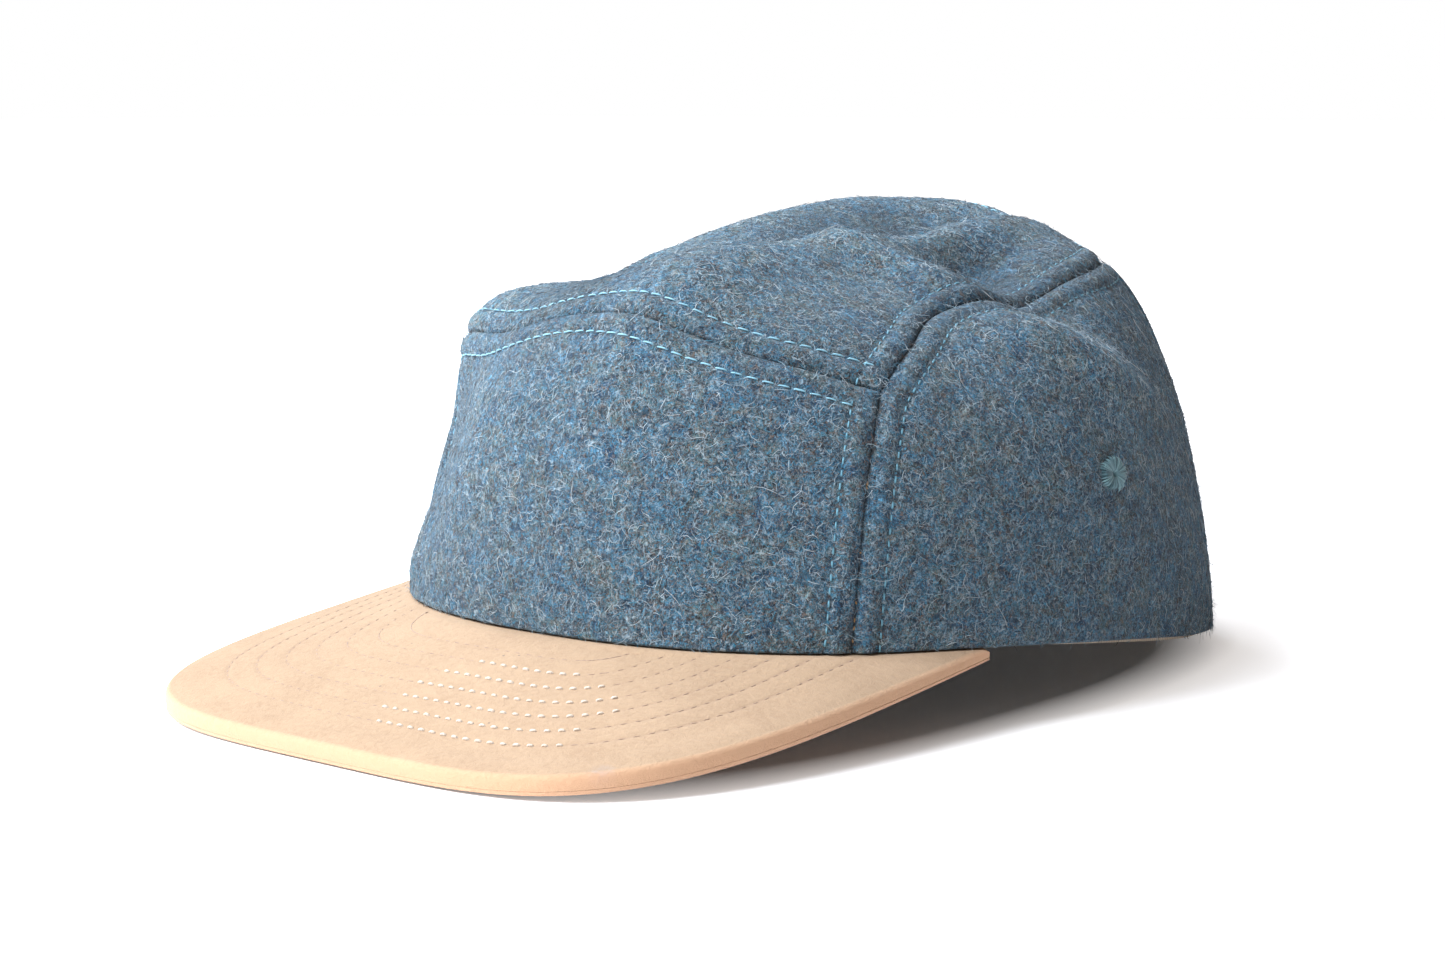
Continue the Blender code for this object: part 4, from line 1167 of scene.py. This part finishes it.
def fibrePiece(name, seed):
    count, stations, shortest, longest, thick, slope, curl, dark, light = fibreLook[name]
    picks = np.random.default_rng(seed)
    chart = fibrePlaces(count, picks)
    count = len(chart)
    point, normal = crownFrame(*chart.T)
    heading = alongSurface(picks.normal(size=(count, 3)), normal)
    length = picks.uniform(shortest, longest, count)
    bend = picks.normal(0, curl, count) * fibreShape["bend"]
    wave = picks.normal(0, curl, count)
    lean = picks.uniform(*slope, count)
    # the strand's direction turns as it goes, and it is put together from those directions
    share = np.linspace(0, 1, stations)
    turn = bend[:, None] * share + wave[:, None] * np.sin(fibreShape["wave"] * share)
    step = (np.cos(turn)[..., None] * heading[:, None] + np.sin(turn)[..., None] * np.cross(normal, heading)[:, None]
            + (lean[:, None] * np.cos(fibreShape["droop"] * share))[..., None] * normal[:, None])
    path = np.cumsum(step[:, :-1] * (length / (stations - 1))[:, None, None], axis=1)
    path = np.concatenate([np.zeros((count, 1, 3)), path], 1)
    path += (point + (woolRelief(point) - fibreClear["root"])[:, None] * normal)[:, None]
    # most strands that would lie over a row of stitches are left out
    overRow = np.min([nearestOn(path[:, stations // 2], line)[0] for kind, line in rowLines], axis=0)
    keep = (overRow > fibreClear["row"]) | (picks.uniform(0, 1, count) < fibreClear["kept"])
    # and every strand that would lie over an eyelet
    eyeletAt = onCrown(np.array([[eyelet["across"], eyelet["along"]]]))[0]
    toEyelet = np.linalg.norm(path * [0, 1, 1] + np.abs(path * [1, 0, 0]) - eyeletAt, axis=2)
    keep &= toEyelet.min(1) > fibreClear["eyelet"]
    # the nap is thin in the valleys
    if name in ("pale_fibres", "fuzz"):
        keep &= picks.uniform(0, 1, count) < fibreShape["nap"][0] + fibreShape["nap"][1] * crestShare(chart)
    radii = thick / 2 * np.interp(share, fibreShape["stations"], fibreShape["thickness"])
    # strands in the valleys are painted darker, a painted shade
    tones = picks.uniform(0, 1, keep.sum()) * np.clip(fibreShape["paintedValleyShade"] + crestShare(chart[keep]), 0, 1)
    material, tree, shader = newMaterial(name + "Wool", light, fibreShape["roughness"], fibreShape["sheen"])
    tree.links.new(mixAt(tree, attributeAt(tree, "tone"), dark, light), shader.inputs["Base Color"])
    addRide(strandMesh(name, path[keep], normal[keep], radii, tones), material)


for seed, name in enumerate(fibreLook):
    fibrePiece(name, fibreShape["firstSeed"] + seed)
print("fibres ready")


# Floor, light and camera

studio = {
    "floor": (0.86, 0.85, 0.86), "floorSize": 30,
    # the floor's glow is painted light, and its dim oval under the cap a painted shadow
    "glow": 0.58, "paintedShadowGlow": 0.024, "glowTint": (1.0, 0.97, 0.95), "glowFar": 0.5,
    "capHalf": (0.075, 0.125), "capPower": 2.6, "paintedShadowEdge": (0.98, 1.20), "farEdge": (0.30, 0.90),
    "roomBright": (0.35, 0.32, 0.30), "roomDark": (0.092, 0.070, 0.058), "roomFrom": (-0.50, -0.70, 0.50),
    "backdrop": (1.0, 1.0, 1.0),
    # place, power, size and colour
    "windowLight": ((-0.505, -0.874, 1.203), 54, 1.1, (0.92, 1.00, 1.09)),
    "rimLight": ((-1.000, 0.250, 1.050), 14, 0.8, (0.92, 1.00, 1.09)),
    "azimuth": 40.56, "elevation": 7.77, "distance": 0.688, "lens": 70, "sensor": 36,
    "target": Vector((-0.01646, -0.01409, 0.04303)),
}

bpy.ops.object.select_all(action="DESELECT")
bpy.ops.mesh.primitive_plane_add(size=studio["floorSize"], location=(0, 0, 0))
floor = takeObject("paleFloor")
material, tree, shader = newMaterial("palePaper", studio["floor"], 0.6)
floorPlace = objectPlace(tree)
# the table glows as if lit from below, a painted light seen by camera rays only, and barely glows in an oval where the
# cap stands, a painted shadow
halves = (1 / studio["capHalf"][0], 1 / studio["capHalf"][1], 0)
inCap = vectorAt(tree, "ABSOLUTE", vectorAt(tree, "MULTIPLY", floorPlace, halves))
parts = place(tree, "SeparateXYZ", {0: inCap}).outputs
oval = mathAt(tree, "ADD", *[mathAt(tree, "POWER", parts[axis], studio["capPower"]) for axis in ("X", "Y")])
oval = mathAt(tree, "POWER", oval, 1 / studio["capPower"])
away = vectorAt(tree, "LENGTH", floorPlace, output="Value")
glow = mathAt(tree, "ADD", rangeAt(tree, oval, *studio["paintedShadowEdge"], studio["paintedShadowGlow"], studio["glow"]),
              rangeAt(tree, away, *studio["farEdge"], 0.0, studio["glowFar"]))
glow = timesAt(tree, glow, place(tree, "LightPath").outputs["Is Camera Ray"])
shader.inputs["Emission Color"].default_value = (*studio["glowTint"], 1)
tree.links.new(glow, shader.inputs["Emission Strength"])
floor.data.materials.append(material)

# a white backdrop in a dim room, darker behind the cap and on its left
world = bpy.data.worlds.new("studioRoom")
bpy.context.scene.world = world
world.use_nodes = True
tree = world.node_tree
facing = vectorAt(tree, "DOT_PRODUCT", place(tree, "TexCoord").outputs["Generated"], studio["roomFrom"], "Value")
sky = mixAt(tree, rangeAt(tree, facing, -1.0, 1.0), studio["roomDark"], studio["roomBright"])
sky = mixAt(tree, place(tree, "LightPath").outputs["Is Camera Ray"], sky, studio["backdrop"])
tree.links.new(sky, tree.nodes["Background"].inputs["Color"])

for name in ("windowLight", "rimLight"):
    spot, power, size, colour = studio[name]
    bpy.ops.object.light_add(type="AREA", location=spot)
    lamp = bpy.context.active_object
    lamp.name = name
    lamp.data.energy = power
    lamp.data.size = size
    lamp.data.color = colour
    lamp.rotation_euler = (studio["target"] - Vector(spot)).to_track_quat("-Z", "Y").to_euler()

azimuth, elevation = math.radians(studio["azimuth"]), math.radians(studio["elevation"])
back = Vector((math.sin(azimuth) * math.cos(elevation), -math.cos(azimuth) * math.cos(elevation), math.sin(elevation)))
bpy.ops.object.camera_add(location=studio["target"] + Vector((0, standsBack, 0)) + back * studio["distance"])
camera = bpy.context.active_object
camera.data.lens = studio["lens"]
camera.data.sensor_width = studio["sensor"]
camera.data.clip_start = 0.01
camera.rotation_euler = (-back).to_track_quat("-Z", "Y").to_euler()
bpy.context.scene.camera = camera
bpy.context.scene.view_settings.view_transform = "Standard"
print("studio ready")
